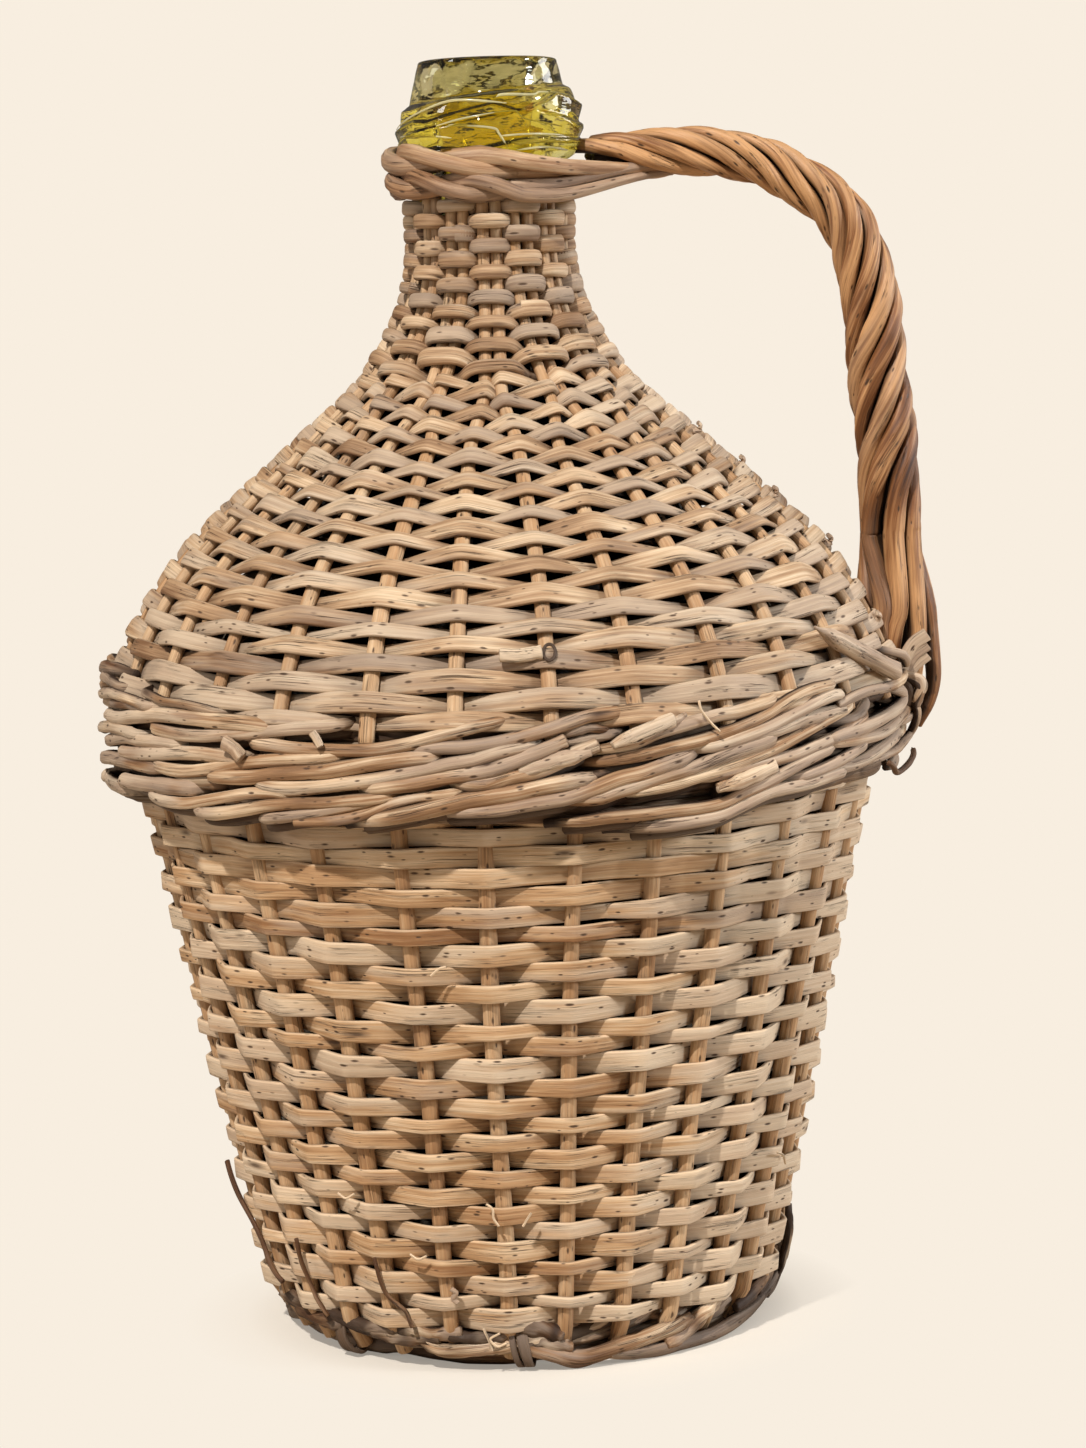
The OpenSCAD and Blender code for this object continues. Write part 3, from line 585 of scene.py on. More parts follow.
def lower_siding():
    bundle = Bundle("lower_siding_willow")
    share = np.linspace(0.0, 1.0, SIDE_ROWS + 1)
    places = SIDE_FROM_Z + (BELT_FOOT_Z + 10.5 - SIDE_FROM_Z) * (0.96 * share + 0.04 * share ** 2)
    places[1:-1] += rng.uniform(-0.6, 0.6, SIDE_ROWS - 1)
    edges = wavy_edges(places, 0.45)
    n = LOWER_STAKES * 24
    for row in range(SIDE_ROWS):
        start = rng.uniform(0.0, TURN)
        a = start + np.linspace(0.0, TURN * (1 + 1.5 / LOWER_STAKES), n)
        low, high = at_angle(edges[row], a), at_angle(edges[row + 1], a)
        w = swing(crossing_number(lower_angles, a) + row, 0.998)
        thick = rng.uniform(0.75, 1.0)
        reach = 3.2 + thick
        ends = row_ends(n, 40.0)
        width = (high - low) / 2 * (1.0 + wander(n, 60, 0.02)) * (0.5 + 0.5 * ends)
        z = (low + high) / 2 + wander(n, 30, 0.12)
        r = stake_r(z) + w * reach - 0.9 * (1 - ends) + rng.normal(0, 0.12)
        r = np.maximum(r, glass_r(z) + 0.3 + thick)
        # Painted light: tone and grey make the lit side paler; deep paints shade where the strip passes
        # behind the stakes
        bundle.strand(polar(r, a, z), normals(a, -SIDE_SLOPE), width, thick, SPLIT_SECTION,
                      roll=wander(n, 24, 0.05) - 0.02 - 0.04 * w,
                      tone=rng.normal(-0.2, 0.9) + wander(n, 50, 0.5) + 1.1 * paler(a),
                      grey=rng.normal(-0.2, 0.5) + wander(n, 60, 0.4) + 1.6 * paler(a),
                      deep=np.clip(-0.3 * w, 0.0, 0.25), under=0.5, edges=1.0)
    return bundle.build(SPLIT, "split_willow", "lower_siding")


def upper_stakes():
    bundle = Bundle("upper_stakes_willow")
    section = round_section(12)
    n = 90
    s = np.linspace(-16.0, S_TOP + 7.0, n)
    r, z, lean = upper_line(s)
    angles = np.array([upper_angles(v) for v in s])
    thin = smooth((s - 50.0) / 90.0)
    for k in range(2 * PAIRS):
        d = rng.uniform(2.5, 2.95) * (1 - thin) + rng.uniform(2.0, 2.3) * thin
        a = angles[:, k] + wander(n, 16, 0.25) / np.maximum(r, 40)
        out = normals(a, lean)
        path = polar(r, a, z) + out * (upper_lift(s) + wander(n, 12, 0.15))[:, None]
        bundle.strand(path, out, d, d * (0.75 + 0.2 * thin), section, tone=rng.normal(0.3, 0.6),
                      grey=rng.uniform(-0.5, 0.4))
    return bundle.build(STAKE, "stakes", "upper_stakes")


SHOULDER_ROWS = 24
NECK_ROWS = 14


def shoulder_siding():
    bundle = Bundle("shoulder_siding_willow")
    section = half_round_section(18, 0.5, 0.62)
    share = np.linspace(0.0, 1.0, SHOULDER_ROWS + 1)
    places = (S_PAIRS + 2.0) * (share * 1.05 - 0.05 * share ** 2)
    places = np.concatenate([[-12.6, -6.3], places])
    places[1:-1] += rng.uniform(-0.45, 0.45, len(places) - 2)
    edges = wavy_edges(places, 0.4)
    n = 2 * PAIRS * 16
    for row in range(len(places) - 1):
        start = rng.uniform(0.0, TURN)
        a = start + np.linspace(0.0, TURN * (1 + 1.4 / PAIRS / 2), n)
        low, high = at_angle(edges[row], a), at_angle(edges[row + 1], a)
        s0 = (places[row] + places[row + 1]) / 2
        w = swing(crossing_number(upper_angles(s0), a) + row, 0.97)
        thick = (places[row + 1] - places[row]) * rng.uniform(0.20, 0.24)
        reach = 2.0 + thick * 0.85
        rr, zz, ll = upper_line((low + high) / 2 + 0.2 * w)
        out = normals(a, ll)
        ends = row_ends(n, 26.0)
        path = polar(rr, a, zz) + out * (upper_lift(s0) + w * reach - 0.8 * (1 - ends))[:, None]
        high_up = smooth((s0 - 20.0) / 50.0)
        lens = 1.02 - 0.20 * high_up + (0.12 + 0.20 * high_up) * smooth((w + 0.8) / 1.6)
        width = (high - low) / 2 * lens * (1 + wander(n, 14, 0.05)) * (0.5 + 0.5 * ends)
        # Painted light: grey makes the lit side paler; deep paints shade where the rod passes behind the
        # stakes
        bundle.strand(path, out, width, thick * (0.75 + 0.25 * ends), section,
                      roll=wander(n, 20, 0.10), tone=rng.normal(0.0, 0.8) + wander(n, 40, 0.6),
                      grey=rng.normal(0.1, 0.5) + wander(n, 36, 0.5) + 0.5 * paler(a),
                      ridges=0.035, deep=np.clip(-0.35 * w, 0.0, 0.3), under=0.7, edges=0.95)
    return bundle.build(ROUND, "round_willow", "shoulder_siding")


def neck_siding():
    bundle = Bundle("neck_siding_willow")
    section = half_round_section(16, 0.7, 0.8)
    pitch = (S_TOP + 3.5 - S_PAIRS - 2.0) / NECK_ROWS
    centres = PAIR_PHASE + np.arange(PAIRS) * TURN / PAIRS
    n = PAIRS * 24
    for row in range(NECK_ROWS):
        s0 = S_PAIRS + 2.0 + (row + 0.5) * pitch
        start = rng.uniform(0.0, TURN)
        a = start + np.linspace(0.0, TURN * (1 + 1.2 / PAIRS), n)
        w = np.cos(math.pi * (crossing_number(centres, a) + row))
        w = np.tanh(1.9 * w) / math.tanh(1.9)
        thick = rng.uniform(1.6, 1.9)
        rr, zz, ll = upper_line(s0 + wander(n, 26, 0.25) + 0.2 * w)
        out = normals(a, ll)
        path = polar(rr, a, zz) + out * (w * (2.1 + thick * 0.9) + upper_lift(s0))[:, None]
        width = pitch * (0.53 + 0.05 * wander(n, 34, 1.0)) * (1 + 0.10 * w)
        # deep paints shade on the passes behind the stakes, and a little all along
        bundle.strand(path, out, width, thick, section,
                      roll=wander(n, 20, 0.08), tone=rng.normal(-0.8, 1.0) + wander(n, 30, 0.8),
                      grey=rng.normal(0.2, 0.5) + wander(n, 50, 0.5), ridges=0.03,
                      deep=np.clip(0.12 - 0.4 * w, 0.0, 0.5), under=1.0, edges=0.8)
    return bundle.build(ROUND, "round_willow", "neck_siding")


# Belt. Its rods rise to the right, as the photograph shows on the front. Each route is one
# visible rod in pixels of the photograph: half its width, whether each end goes in under the
# others, how far in it lies and how much painted shade darkens it, and its line.
BELT_ROUTES = [
    (4.5, 1, 1, 0.1, ((139, 691), (148, 695), (162, 701), (182, 704), (203, 709), (217, 713))),
    (5.6, 1, 1, 0.0, ((102, 694), (112, 693), (123, 696), (138, 702), (152, 707))),
    (4.4, 1, 1, 0.1, ((110, 703), (125, 704), (138, 707), (151, 710))),
    (7.6, 1, 1, 0.0, ((107, 713), (119, 718), (135, 716), (159, 715), (188, 718), (217, 721),
                      (247, 724), (270, 728))),
    (6.4, 1, 1, 0.0, ((150, 727), (162, 731), (183, 735), (203, 736), (225, 735), (247, 734),
                      (269, 731), (291, 729), (320, 727), (338, 725))),
    (5.9, 1, 1, 0.1, ((102, 727), (112, 727), (124, 730), (139, 735))),
    (6.4, 1, 1, 0.0, ((250, 742), (269, 745), (291, 748), (325, 750), (350, 751), (375, 750),
                      (400, 746), (424, 740), (449, 733), (474, 727), (497, 723))),
    (6.3, 1, 1, 0.0, ((107, 741), (122, 738), (137, 740), (151, 741), (166, 743), (177, 745))),
    (7.2, 1, 1, 0.0, ((120, 749), (126, 753), (138, 754), (159, 754), (181, 753), (203, 754),
                      (225, 757), (241, 759))),
    (6.4, 1, 1, 0.0, ((152, 764), (170, 769), (188, 771), (210, 769), (232, 765), (254, 762),
                      (276, 760), (298, 759), (320, 758), (340, 756))),
    (6.8, 1, 1, 0.1, ((102, 757), (115, 759), (129, 762), (144, 766), (160, 769))),
    (7.3, 1, 1, 0.0, ((210, 776), (232, 777), (254, 777), (276, 774), (305, 772), (325, 771),
                      (350, 767), (375, 763), (400, 760), (418, 758), (434, 757))),
    (7.2, 1, 1, 0.0, ((257, 783), (276, 787), (298, 788), (325, 786), (350, 783), (375, 780),
                      (400, 775), (424, 770), (449, 764), (474, 760), (500, 752), (530, 746))),
    (7.6, 1, 0, 0.0, ((366, 788), (391, 786), (416, 783), (441, 778), (466, 774), (491, 769),
                      (525, 757), (550, 747), (565, 740))),
    (7.4, 1, 0, 0.0, ((457, 784), (482, 784), (505, 778), (525, 774), (550, 766), (575, 754),
                      (597, 745))),
    (6.6, 1, 1, 0.0, ((195, 810), (211, 813), (227, 812), (247, 809), (269, 805), (298, 803),
                      (325, 803), (350, 801), (375, 799), (394, 796))),
    (5.6, 1, 1, 0.0, ((262, 819), (283, 817), (305, 814), (325, 811), (350, 806), (375, 801),
                      (395, 797))),
    (5.2, 0, 1, 0.0, ((296, 822), (333, 821), (366, 814), (391, 804), (416, 798), (441, 795),
                      (460, 792))),
    (8.2, 1, 1, 0.0, ((368, 821), (391, 817), (416, 812), (441, 806), (466, 801), (491, 797),
                      (516, 793), (541, 787), (560, 783), (577, 780), (592, 779))),
    (7.0, 1, 1, 0.0, ((457, 813), (482, 811), (503, 809), (525, 805), (550, 801), (566, 798),
                      (591, 789), (616, 779), (641, 773), (666, 764), (690, 756))),
    (6.7, 1, 1, 0.0, ((575, 801), (600, 798), (616, 792), (641, 784), (666, 776), (691, 768),
                      (716, 758), (741, 749), (760, 743), (775, 735))),
    (6.7, 1, 1, 0.0, ((630, 793), (649, 789), (674, 784), (699, 776), (724, 769), (743, 762),
                      (766, 752), (789, 740), (806, 731), (820, 723),
                      (838, 713), (853, 704))),
    (5.6, 0, 1, 0.0, ((717, 788), (732, 783), (749, 776), (775, 765))),
    (6.4, 1, 1, 0.0, ((597, 763), (624, 758), (649, 753), (674, 747), (699, 741), (724, 733),
                      (742, 726), (764, 716), (789, 700), (812, 690), (836, 685))),
    (6.3, 1, 1, 0.0, ((599, 751), (633, 743), (658, 733), (682, 726), (716, 716), (737, 712),
                      (756, 706), (778, 699))),
    (4.4, 0, 1, 0.0, ((611, 745), (626, 736), (641, 731), (666, 723), (683, 718))),
    (6.3, 1, 1, 0.0, ((700, 749), (722, 744), (743, 737), (766, 728), (789, 716), (812, 704),
                      (828, 696), (843, 694))),
    (6.5, 1, 0, 0.0, ((748, 738), (774, 731), (797, 722), (820, 715), (842, 709))),
    (5.4, 0, 1, 0.0, ((835, 705), (850, 697), (866, 691), (881, 688), (893, 684), (902, 674),
                      (904, 661), (898, 652))),
    (6.0, 1, 1, 0.2, ((845, 722), (858, 718), (867, 706), (868, 698))),
    (6.8, 1, 1, 0.0, ((828, 740), (840, 735), (855, 730), (872, 723), (887, 714), (899, 704),
                      (901, 695), (896, 688))),
    (5.8, 1, 1, 0.0, ((830, 744), (842, 742), (859, 739), (881, 733), (896, 722), (905, 709),
                      (916, 696), (921, 685), (918, 676))),
    (4.8, 1, 1, 0.0, ((896, 723), (911, 716), (919, 703), (922, 691), (918, 680))),
    (4.4, 1, 1, 0.0, ((846, 765), (873, 760), (889, 754), (901, 746), (910, 735), (917, 722),
                      (918, 710), (913, 700))),
    (6.4, 1, 1, 0.0, ((800, 782), (827, 771), (858, 763), (878, 751), (893, 738), (898, 728))),
    (6.3, 1, 1, 0.0, ((700, 778), (720, 774), (743, 768), (771, 761), (797, 754), (812, 748),
                      (832, 739), (852, 727), (870, 714))),
    (6.4, 1, 1, 0.0, ((578, 822), (608, 817), (641, 814), (666, 811), (699, 808), (722, 803),
                      (742, 793), (766, 782), (789, 769), (812, 757), (835, 747))),
    (6.6, 1, 1, 0.0, ((652, 827), (691, 821), (720, 815), (745, 803), (766, 793), (781, 789),
                      (805, 784), (827, 776), (845, 770))),
    (5.6, 1, 1, 0.0, ((795, 779), (815, 771), (835, 762), (850, 753), (866, 742))),
    (6.4, 1, 1, 0.0, ((412, 751), (441, 748), (466, 747), (500, 742), (525, 736), (550, 729),
                      (575, 721), (592, 716), (618, 713))),
    (5.0, 1, 1, 0.35, ((562, 745), (586, 740), (606, 736), (621, 733))),
    (4.4, 1, 1, 0.2, ((560, 737), (576, 731), (593, 728), (610, 731))),
    (3.8, 1, 1, 0.5, ((572, 779), (590, 776), (610, 773))),
    (7.8, 1, 1, 0.0, ((121, 779), (137, 783), (159, 785), (181, 787), (196, 789))),
    (5.9, 1, 1, 0.0, ((149, 793), (166, 800), (188, 803), (210, 800), (232, 796), (254, 793),
                      (276, 793), (291, 795))),
    (7.0, 1, 1, 0.4, ((170, 781), (203, 783), (221, 785))),
    (3.6, 0, 1, 0.1, ((226, 801), (240, 800), (257, 801))),
    (7.0, 1, 1, 0.2, ((104, 774), (110, 780), (118, 786), (128, 790))),
    (5.5, 1, 1, 0.2, ((99, 676), (108, 681), (120, 689)))]
BELT_MIDDLE_R = 139.5


def belt_face(z):
    return np.full_like(np.asarray(z, float), 142.2)


def run_on(values, step, count):
    """Extend a sampled line at both ends by its slope there, count samples of the step."""
    ahead = np.arange(1, count + 1) * step
    first, last = values[0] - values[3], values[-1] - values[-4]
    return np.concatenate([(values[0] + first / 3 * ahead)[::-1], values,
                           values[-1] + last / 3 * ahead])


def belt_rod(bundle, path, angle, half, section, tucks=(1, 1), deep=0.0):
    """A rod that thins where it goes in under the others, painted darker as shade the further in it lies.
    """
    n = len(path)
    t = np.linspace(0.0, 1.0, n)
    taper = np.ones(n)
    for tuck, place in zip(tucks, (t, 1 - t)):
        taper = taper * (1 - (0.1 + 0.22 * tuck) * (1 - smooth(place / rng.uniform(0.12, 0.3))))
    bundle.strand(path, normals(angle, 0.0), half * taper, half * taper * 0.92, section,
                  roll=rng.uniform(-0.4, 0.4) + wander(n, 20, 0.15),
                  tone=rng.normal(0.0, 0.9) + wander(n, 14, 0.6),
                  grey=rng.normal(-0.1, 0.6) + wander(n, 12, 0.6) + 0.7 * paler(angle),
                  ridges=0.06, under=1.5,
                  deep=deep + 0.05 + smooth((BELT_MIDDLE_R + 0.5 - np.hypot(path[:, 0], path[:, 1]))
                                     / 5.0) * (0.95 - deep))


def belt():
    bundle = Bundle("belt_willow")
    section = half_round_section(14, 1.0, 0.97)
    for half, first, last, deep, route in BELT_ROUTES:
        n, more = 60, 8
        r, angle, z = seen_round(route, belt_face, n)
        length = np.linalg.norm(np.diff(polar(r, angle, z), axis=0), axis=1).sum()
        step = 11.0 / more / (length / (n - 1))
        r, angle, z = (run_on(values, step, more) for values in (r, angle, z))
        place = (np.arange(n + 2 * more) - more) * length / (n - 1)
        place[:more] = -11.0 * np.arange(more, 0, -1) / more
        place[-more:] = length + 11.0 * np.arange(1, more + 1) / more
        keep = (place >= (-11.5 if first else 0.0)) & (place <= length + (11.5 if last else 0.0))
        dip = 9.0 * first * (1 - smooth((place + 11.0) / 16.0))
        dip = dip + 9.0 * last * (1 - smooth((length + 11.0 - place) / 16.0))
        lift = rng.uniform(-0.7, 0.7) - dip - 4.0 * deep
        path = polar(r + lift, angle, z)[keep]
        half = half * 0.357
        belt_rod(bundle, path, angle[keep], half, section, (first, last), deep)
        if half < 1.9:
            continue
        # A rod painted dark as shade lies behind, half a rod lower
        inner = path - normals(angle[keep], 0.0) * 5.0
        inner[:, 2] -= 2.6
        bundle.strand(inner[6:-6], normals(angle[keep], 0.0)[6:-6], 2.5, 2.5, section,
                      tone=rng.normal(-1.0, 0.6), grey=rng.normal(0.0, 0.5), ridges=0.05,
                      deep=0.8, under=1.0)
    # Round the sides and back the same bands run on
    for z0, half_h, count in ((201.5, 6.2, 40), (211.5, 6.2, 40), (221.5, 6.2, 40),
                              (230.5, 6.2, 40), (238.0, 3.0, 34)):
        for k in range(count):
            start = (k + rng.uniform(-0.25, 0.25)) * TURN / count
            length = rng.uniform(72.0, 98.0) / BELT_MIDDLE_R
            # Those that would lie over the front leave it free
            first = start % TURN
            if first < math.radians(351.0) and first + length / 2 > math.pi:
                continue
            n = 54
            q = np.linspace(-2.1, 2.1, n)
            angle = start + (q / math.pi + 0.5) * length
            z = z0 + half_h * np.sin(q) + wander(n, 20, 0.4)
            r = BELT_MIDDLE_R - 1.0 + 4.8 * np.cos(q) + rng.uniform(-0.6, 0.6)
            belt_rod(bundle, polar(r, angle, z), angle, rng.uniform(2.2, 2.7), section)
    # Rods on the inside of the stakes, painted dark as the shade under the belt
    for z0 in np.arange(BELT_FOOT_Z + 7.6, BELT_TOP_Z - 6.0, 5.6):
        n = 240
        angle = np.linspace(0.0, TURN, n, endpoint=False)
        w = np.cos(LOWER_STAKES / 2 * angle + z0)
        path = polar(132.5 + 1.2 * w, angle, z0 + wander(n, 16, 0.7, closed=True))
        bundle.strand(path, normals(angle, 0.0), 3.2, 2.6, section, closed=True,
                      tone=rng.normal(-1.0, 0.4), deep=0.6)
    return bundle.build(RODS, "rods", "belt_lower_wale", "belt_middle_wale", "belt_upper_wale")


# Foot border: thick rods laid round one after another, with thinner ones roped above them.
# At the front the rods lie as the photograph shows: half size, darkness, route in its pixels
FOOT_ROUTES = [
    (2.9, 0.10, ((512, 1340), (545, 1352), (580, 1358), (622, 1345), (664, 1330), (690, 1318))),
    (2.4, 0.2, ((600, 1352), (640, 1353), (678, 1349), (708, 1336), (735, 1320), (760, 1297),
                (774, 1274))),
    (2.2, 0.7, ((735, 1308), (754, 1290), (767, 1268), (774, 1246))),
    (1.7, 0.60, ((766, 1296), (776, 1276), (784, 1254), (789, 1230), (788, 1204))),
    (1.5, 0.70, ((758, 1292), (772, 1268), (779, 1244), (783, 1218))),
    (2.5, 0.15, ((423, 1340), (445, 1350), (480, 1349), (520, 1343), (546, 1338))),
    (3.1, 0.35, ((505, 1318), (530, 1326), (552, 1332), (562, 1335))),
    (2.3, 0.45, ((520, 1350), (534, 1342), (552, 1344), (572, 1346))),
    (3.4, 0.20, ((664, 1342), (686, 1328), (703, 1311), (716, 1297))),
    (2.7, 0.70, ((284, 1290), (300, 1300), (318, 1309))),
    (3.0, 0.65, ((300, 1306), (322, 1317), (345, 1324))),
    (2.7, 0.60, ((330, 1312), (362, 1325), (396, 1330))),
    (2.6, 0.70, ((372, 1330), (405, 1338), (440, 1338))),
    (2.4, 0.55, ((400, 1327), (432, 1334), (462, 1331))),
    (2.2, 0.75, ((446, 1334), (478, 1338), (508, 1333)))]


def foot_face(z):
    return 88.4 + 0.1 * np.asarray(z, float)


def foot_border():
    bundle = Bundle("foot_border_willow")
    section = half_round_section(14, 0.95, 0.95)
    for half, deep, route in FOOT_ROUTES:
        n = 60
        path, angle = seen_path(route, foot_face, n)
        t = np.linspace(0.0, 1.0, n)
        taper = 0.8 + 0.2 * smooth(np.minimum(t, 1 - t) / 0.1)
        path[:, 2] = np.maximum(path[:, 2], half * 1.12 + 0.3)
        bundle.strand(path, normals(angle, 0.0), half * taper, half * taper * 0.9, section,
                      roll=wander(n, 20, 0.3), tone=rng.normal(-1.0, 0.8) + wander(n, 12, 1.2),
                      grey=rng.normal(0.4, 0.6) + wander(n, 20, 0.8), ridges=0.12, under=1.5,
                      deep=np.clip(deep + 0.08 + wander(n, 9, 0.25), 0.0, 0.95))
    rods = 9
    for k in range(rods):
        n = 70
        q = np.linspace(-0.15, 1.15, n)
        first = math.radians(-128.0) + k * TURN / rods + rng.uniform(-0.05, 0.05)
        angle = first + q * TURN / rods * 1.35
        d = rng.uniform(3.3, 3.9)
        z = d + 0.2 + 4.2 * smooth((q - 0.62) / 0.4) + wander(n, 24, 0.2)
        r = 80.0 + 3.4 * smooth(q / 0.35) - 2.0 * smooth((q - 0.8) / 0.3) + wander(n, 16, 0.5)
        # Those at the front lie further in, behind the ones seen there
        r = r - 5.0 * smooth((-np.sin(angle) - 0.2) / 0.3)
        taper = 0.62 + 0.38 * smooth(np.minimum(q + 0.15, 1.15 - q) / 0.2)
        z = np.maximum(z, d * taper * 1.12 + 0.2)
        bundle.strand(polar(r, angle, z), normals(angle, 0.0), d * taper, d * taper, section,
                      roll=wander(n, 20, 0.3), tone=rng.normal(-1.0, 0.9) + wander(n, 12, 1.0),
                      grey=rng.normal(0.6, 0.6) + wander(n, 20, 0.6), ridges=0.09, under=1.4,
                      deep=np.clip(0.5 + wander(n, 14, 0.25), 0.0, 0.9))
    rods = 26
    for k in range(rods):
        n = 40
        q = np.linspace(-1.7, 1.7, n)
        first = (k + rng.uniform(-0.2, 0.2)) * TURN / rods
        angle = first + (q / math.pi + 0.5) * rng.uniform(44.0, 58.0) / 90.0
        z = 11.5 + 3.6 * np.sin(q) + wander(n, 18, 0.4)
        r = 84.6 + 2.4 * np.cos(q) + rng.uniform(-0.4, 0.4)
        r = r - 3.0 * smooth((-np.sin(angle) - 0.2) / 0.3)
        half = rng.uniform(2.1, 2.6) * (0.6 + 0.4 * smooth(row_ends(n, 9.0)))
        bundle.strand(polar(r, angle, z), normals(angle, 0.0), half, half, section,
                      tone=rng.normal(-0.6, 0.9), grey=rng.normal(0.5, 0.6), ridges=0.06,
                      deep=np.clip(0.6 + wander(n, 16, 0.25), 0.0, 0.95), under=1.4)
    return bundle.build(RODS, "rods", "foot_rod", "foot_wale")


def foot_ties():
    bundle = Bundle("foot_tie_willow")
    n = 40
    for degrees, hidden in ((-90.0, 0.6), (105.0, 0.5), (225.0, 0.75)):
        a = math.radians(degrees)
        for k in range(3):
            q = np.linspace(-2.5, 2.5, n)
            r = 86.0 + (6.4 if degrees > 0.0 or k == 1 else 6.0) * np.cos(q) - 1.6 * (degrees > 200.0)
            z = 9.0 + 7.6 * np.sin(q) + 0.4
            angle = a + (k - 1) * 0.016 - 0.02 * np.sin(q) + wander(n, 12, 0.008)
            z = np.maximum(z, 1.6)
            out = np.stack([np.cos(q) * np.cos(a), np.cos(q) * np.sin(a), np.sin(q)], -1)
            bundle.strand(polar(r, angle, z), out, 1.1 + 0.4 * (k == 1), 0.7, SPLIT_SECTION,
                          tone=-3.0 + k, grey=0.8, deep=hidden)
    return bundle.build(RODS, "rods", "foot_tie")


# Base: split sticks with others through them, and pairs of weavers twined round them
def base():
    bundle = Bundle("base_willow")
    section = round_section(12)
    for turned in (0, 1):
        for place in (-9.6, 0.0, 9.6):
            n = 30
            half = math.sqrt(85.0 ** 2 - place ** 2)
            along = np.linspace(-half, half, n)
            across = place + wander(n, 12, 0.25)
            x, y = (across, along) if turned else (along, across)
            path = np.stack([x, y, np.full(n, 15.3) + wander(n, 10, 0.1)], -1)
            swell = 1.0 + 0.35 * np.exp(-(along / 13.0) ** 2) * (1 - turned)
            bundle.strand(path, np.array([0.0, 0.0, 1.0]), 2.7 * swell, 2.5 * swell, section,
                          tone=rng.normal(-0.2, 0.6), grey=0.3)
    rounds = 15
    for k in range(rounds):
        ring = 27.0 + k * (84.0 - 27.0) / (rounds - 1)
        spokes = 6 if ring < 45 else 12 if ring < 68 else 18
        for phase in (0.0, math.pi):
            n = 180
            a = np.linspace(0.0, TURN, n, endpoint=False)
            wave = np.sin(spokes * a + phase + k * math.pi)
            path = polar(ring + 0.7 * np.cos(spokes * a + phase), a, 15.3 + 2.7 * wave)
            bundle.strand(path, np.array([0.0, 0.0, 1.0]), 1.85, 1.6, section, closed=True,
                          tone=rng.normal(-0.2, 0.7), grey=rng.normal(0.3, 0.4))
    return bundle.build(RODS, "rods", "base_sticks", "base_weave")


# Handle: its middle line in the XZ plane, from the photograph, and six rods roped together
HANDLE_LINE = through([(32, 413.0), (40, 414.0), (47, 415), (58, 415.5), (69.5, 416), (84, 415), (98, 411),
                       (109, 404.6), (120, 397.6), (128, 387.7), (132, 376.5), (134.5, 363.8),
                       (136, 349), (136.5, 333), (138, 315.5), (139, 301), (140, 280),
                       (140.6, 258), (142.5, 240)], 400)
HANDLE_STEP = np.concatenate([[0], np.cumsum(np.linalg.norm(np.diff(HANDLE_LINE, axis=0),
                                                            axis=1))])
HANDLE_L = HANDLE_STEP[-1]
HANDLE_PITCH = 92.0
HANDLE_RODS = 6


def handle_middle(s):
    """Place, direction and outward normal of the handle's middle line at distance s."""
    x, z = (np.interp(s, HANDLE_STEP, HANDLE_LINE[:, i]) for i in (0, 1))
    ahead = [np.interp(s + 1.5, HANDLE_STEP, HANDLE_LINE[:, i]) for i in (0, 1)]
    behind = [np.interp(s - 1.5, HANDLE_STEP, HANDLE_LINE[:, i]) for i in (0, 1)]
    way = unit(np.stack([ahead[0] - behind[0], ahead[1] - behind[1]], -1))
    return x, z, way, np.stack([-way[:, 1], way[:, 0]], -1)


# Where the handle's rods go in the end, by their turn round the rope: turn, depth, half size
# at both ends, and the route in pixels of the photograph
HANDLE_ROOTS = [
    (0.0, 0.5, 3.5, 2.1, ((925, 598), (929, 625), (932, 652), (933, 678), (928, 703),
                          (917, 724))),
    (0.7, -5.0, 3.7, 2.8, ((916, 606), (917, 632), (914, 660), (911, 690),
                           (908, 712))),
    (1.3, -8.5, 3.6, 2.8, ((898, 603), (894, 628), (891, 656), (889, 680))),
    (1.95, -8.5, 3.7, 2.8, ((883, 600), (882, 625), (883, 652), (884, 676))),
    (2.8, -3.5, 3.3, 2.6, ((867, 597), (872, 618), (880, 638), (884, 660))),
    (4.7, 6.0, 3.4, 3.0, ((901, 605), (903, 630), (903, 655), (902, 680)))]


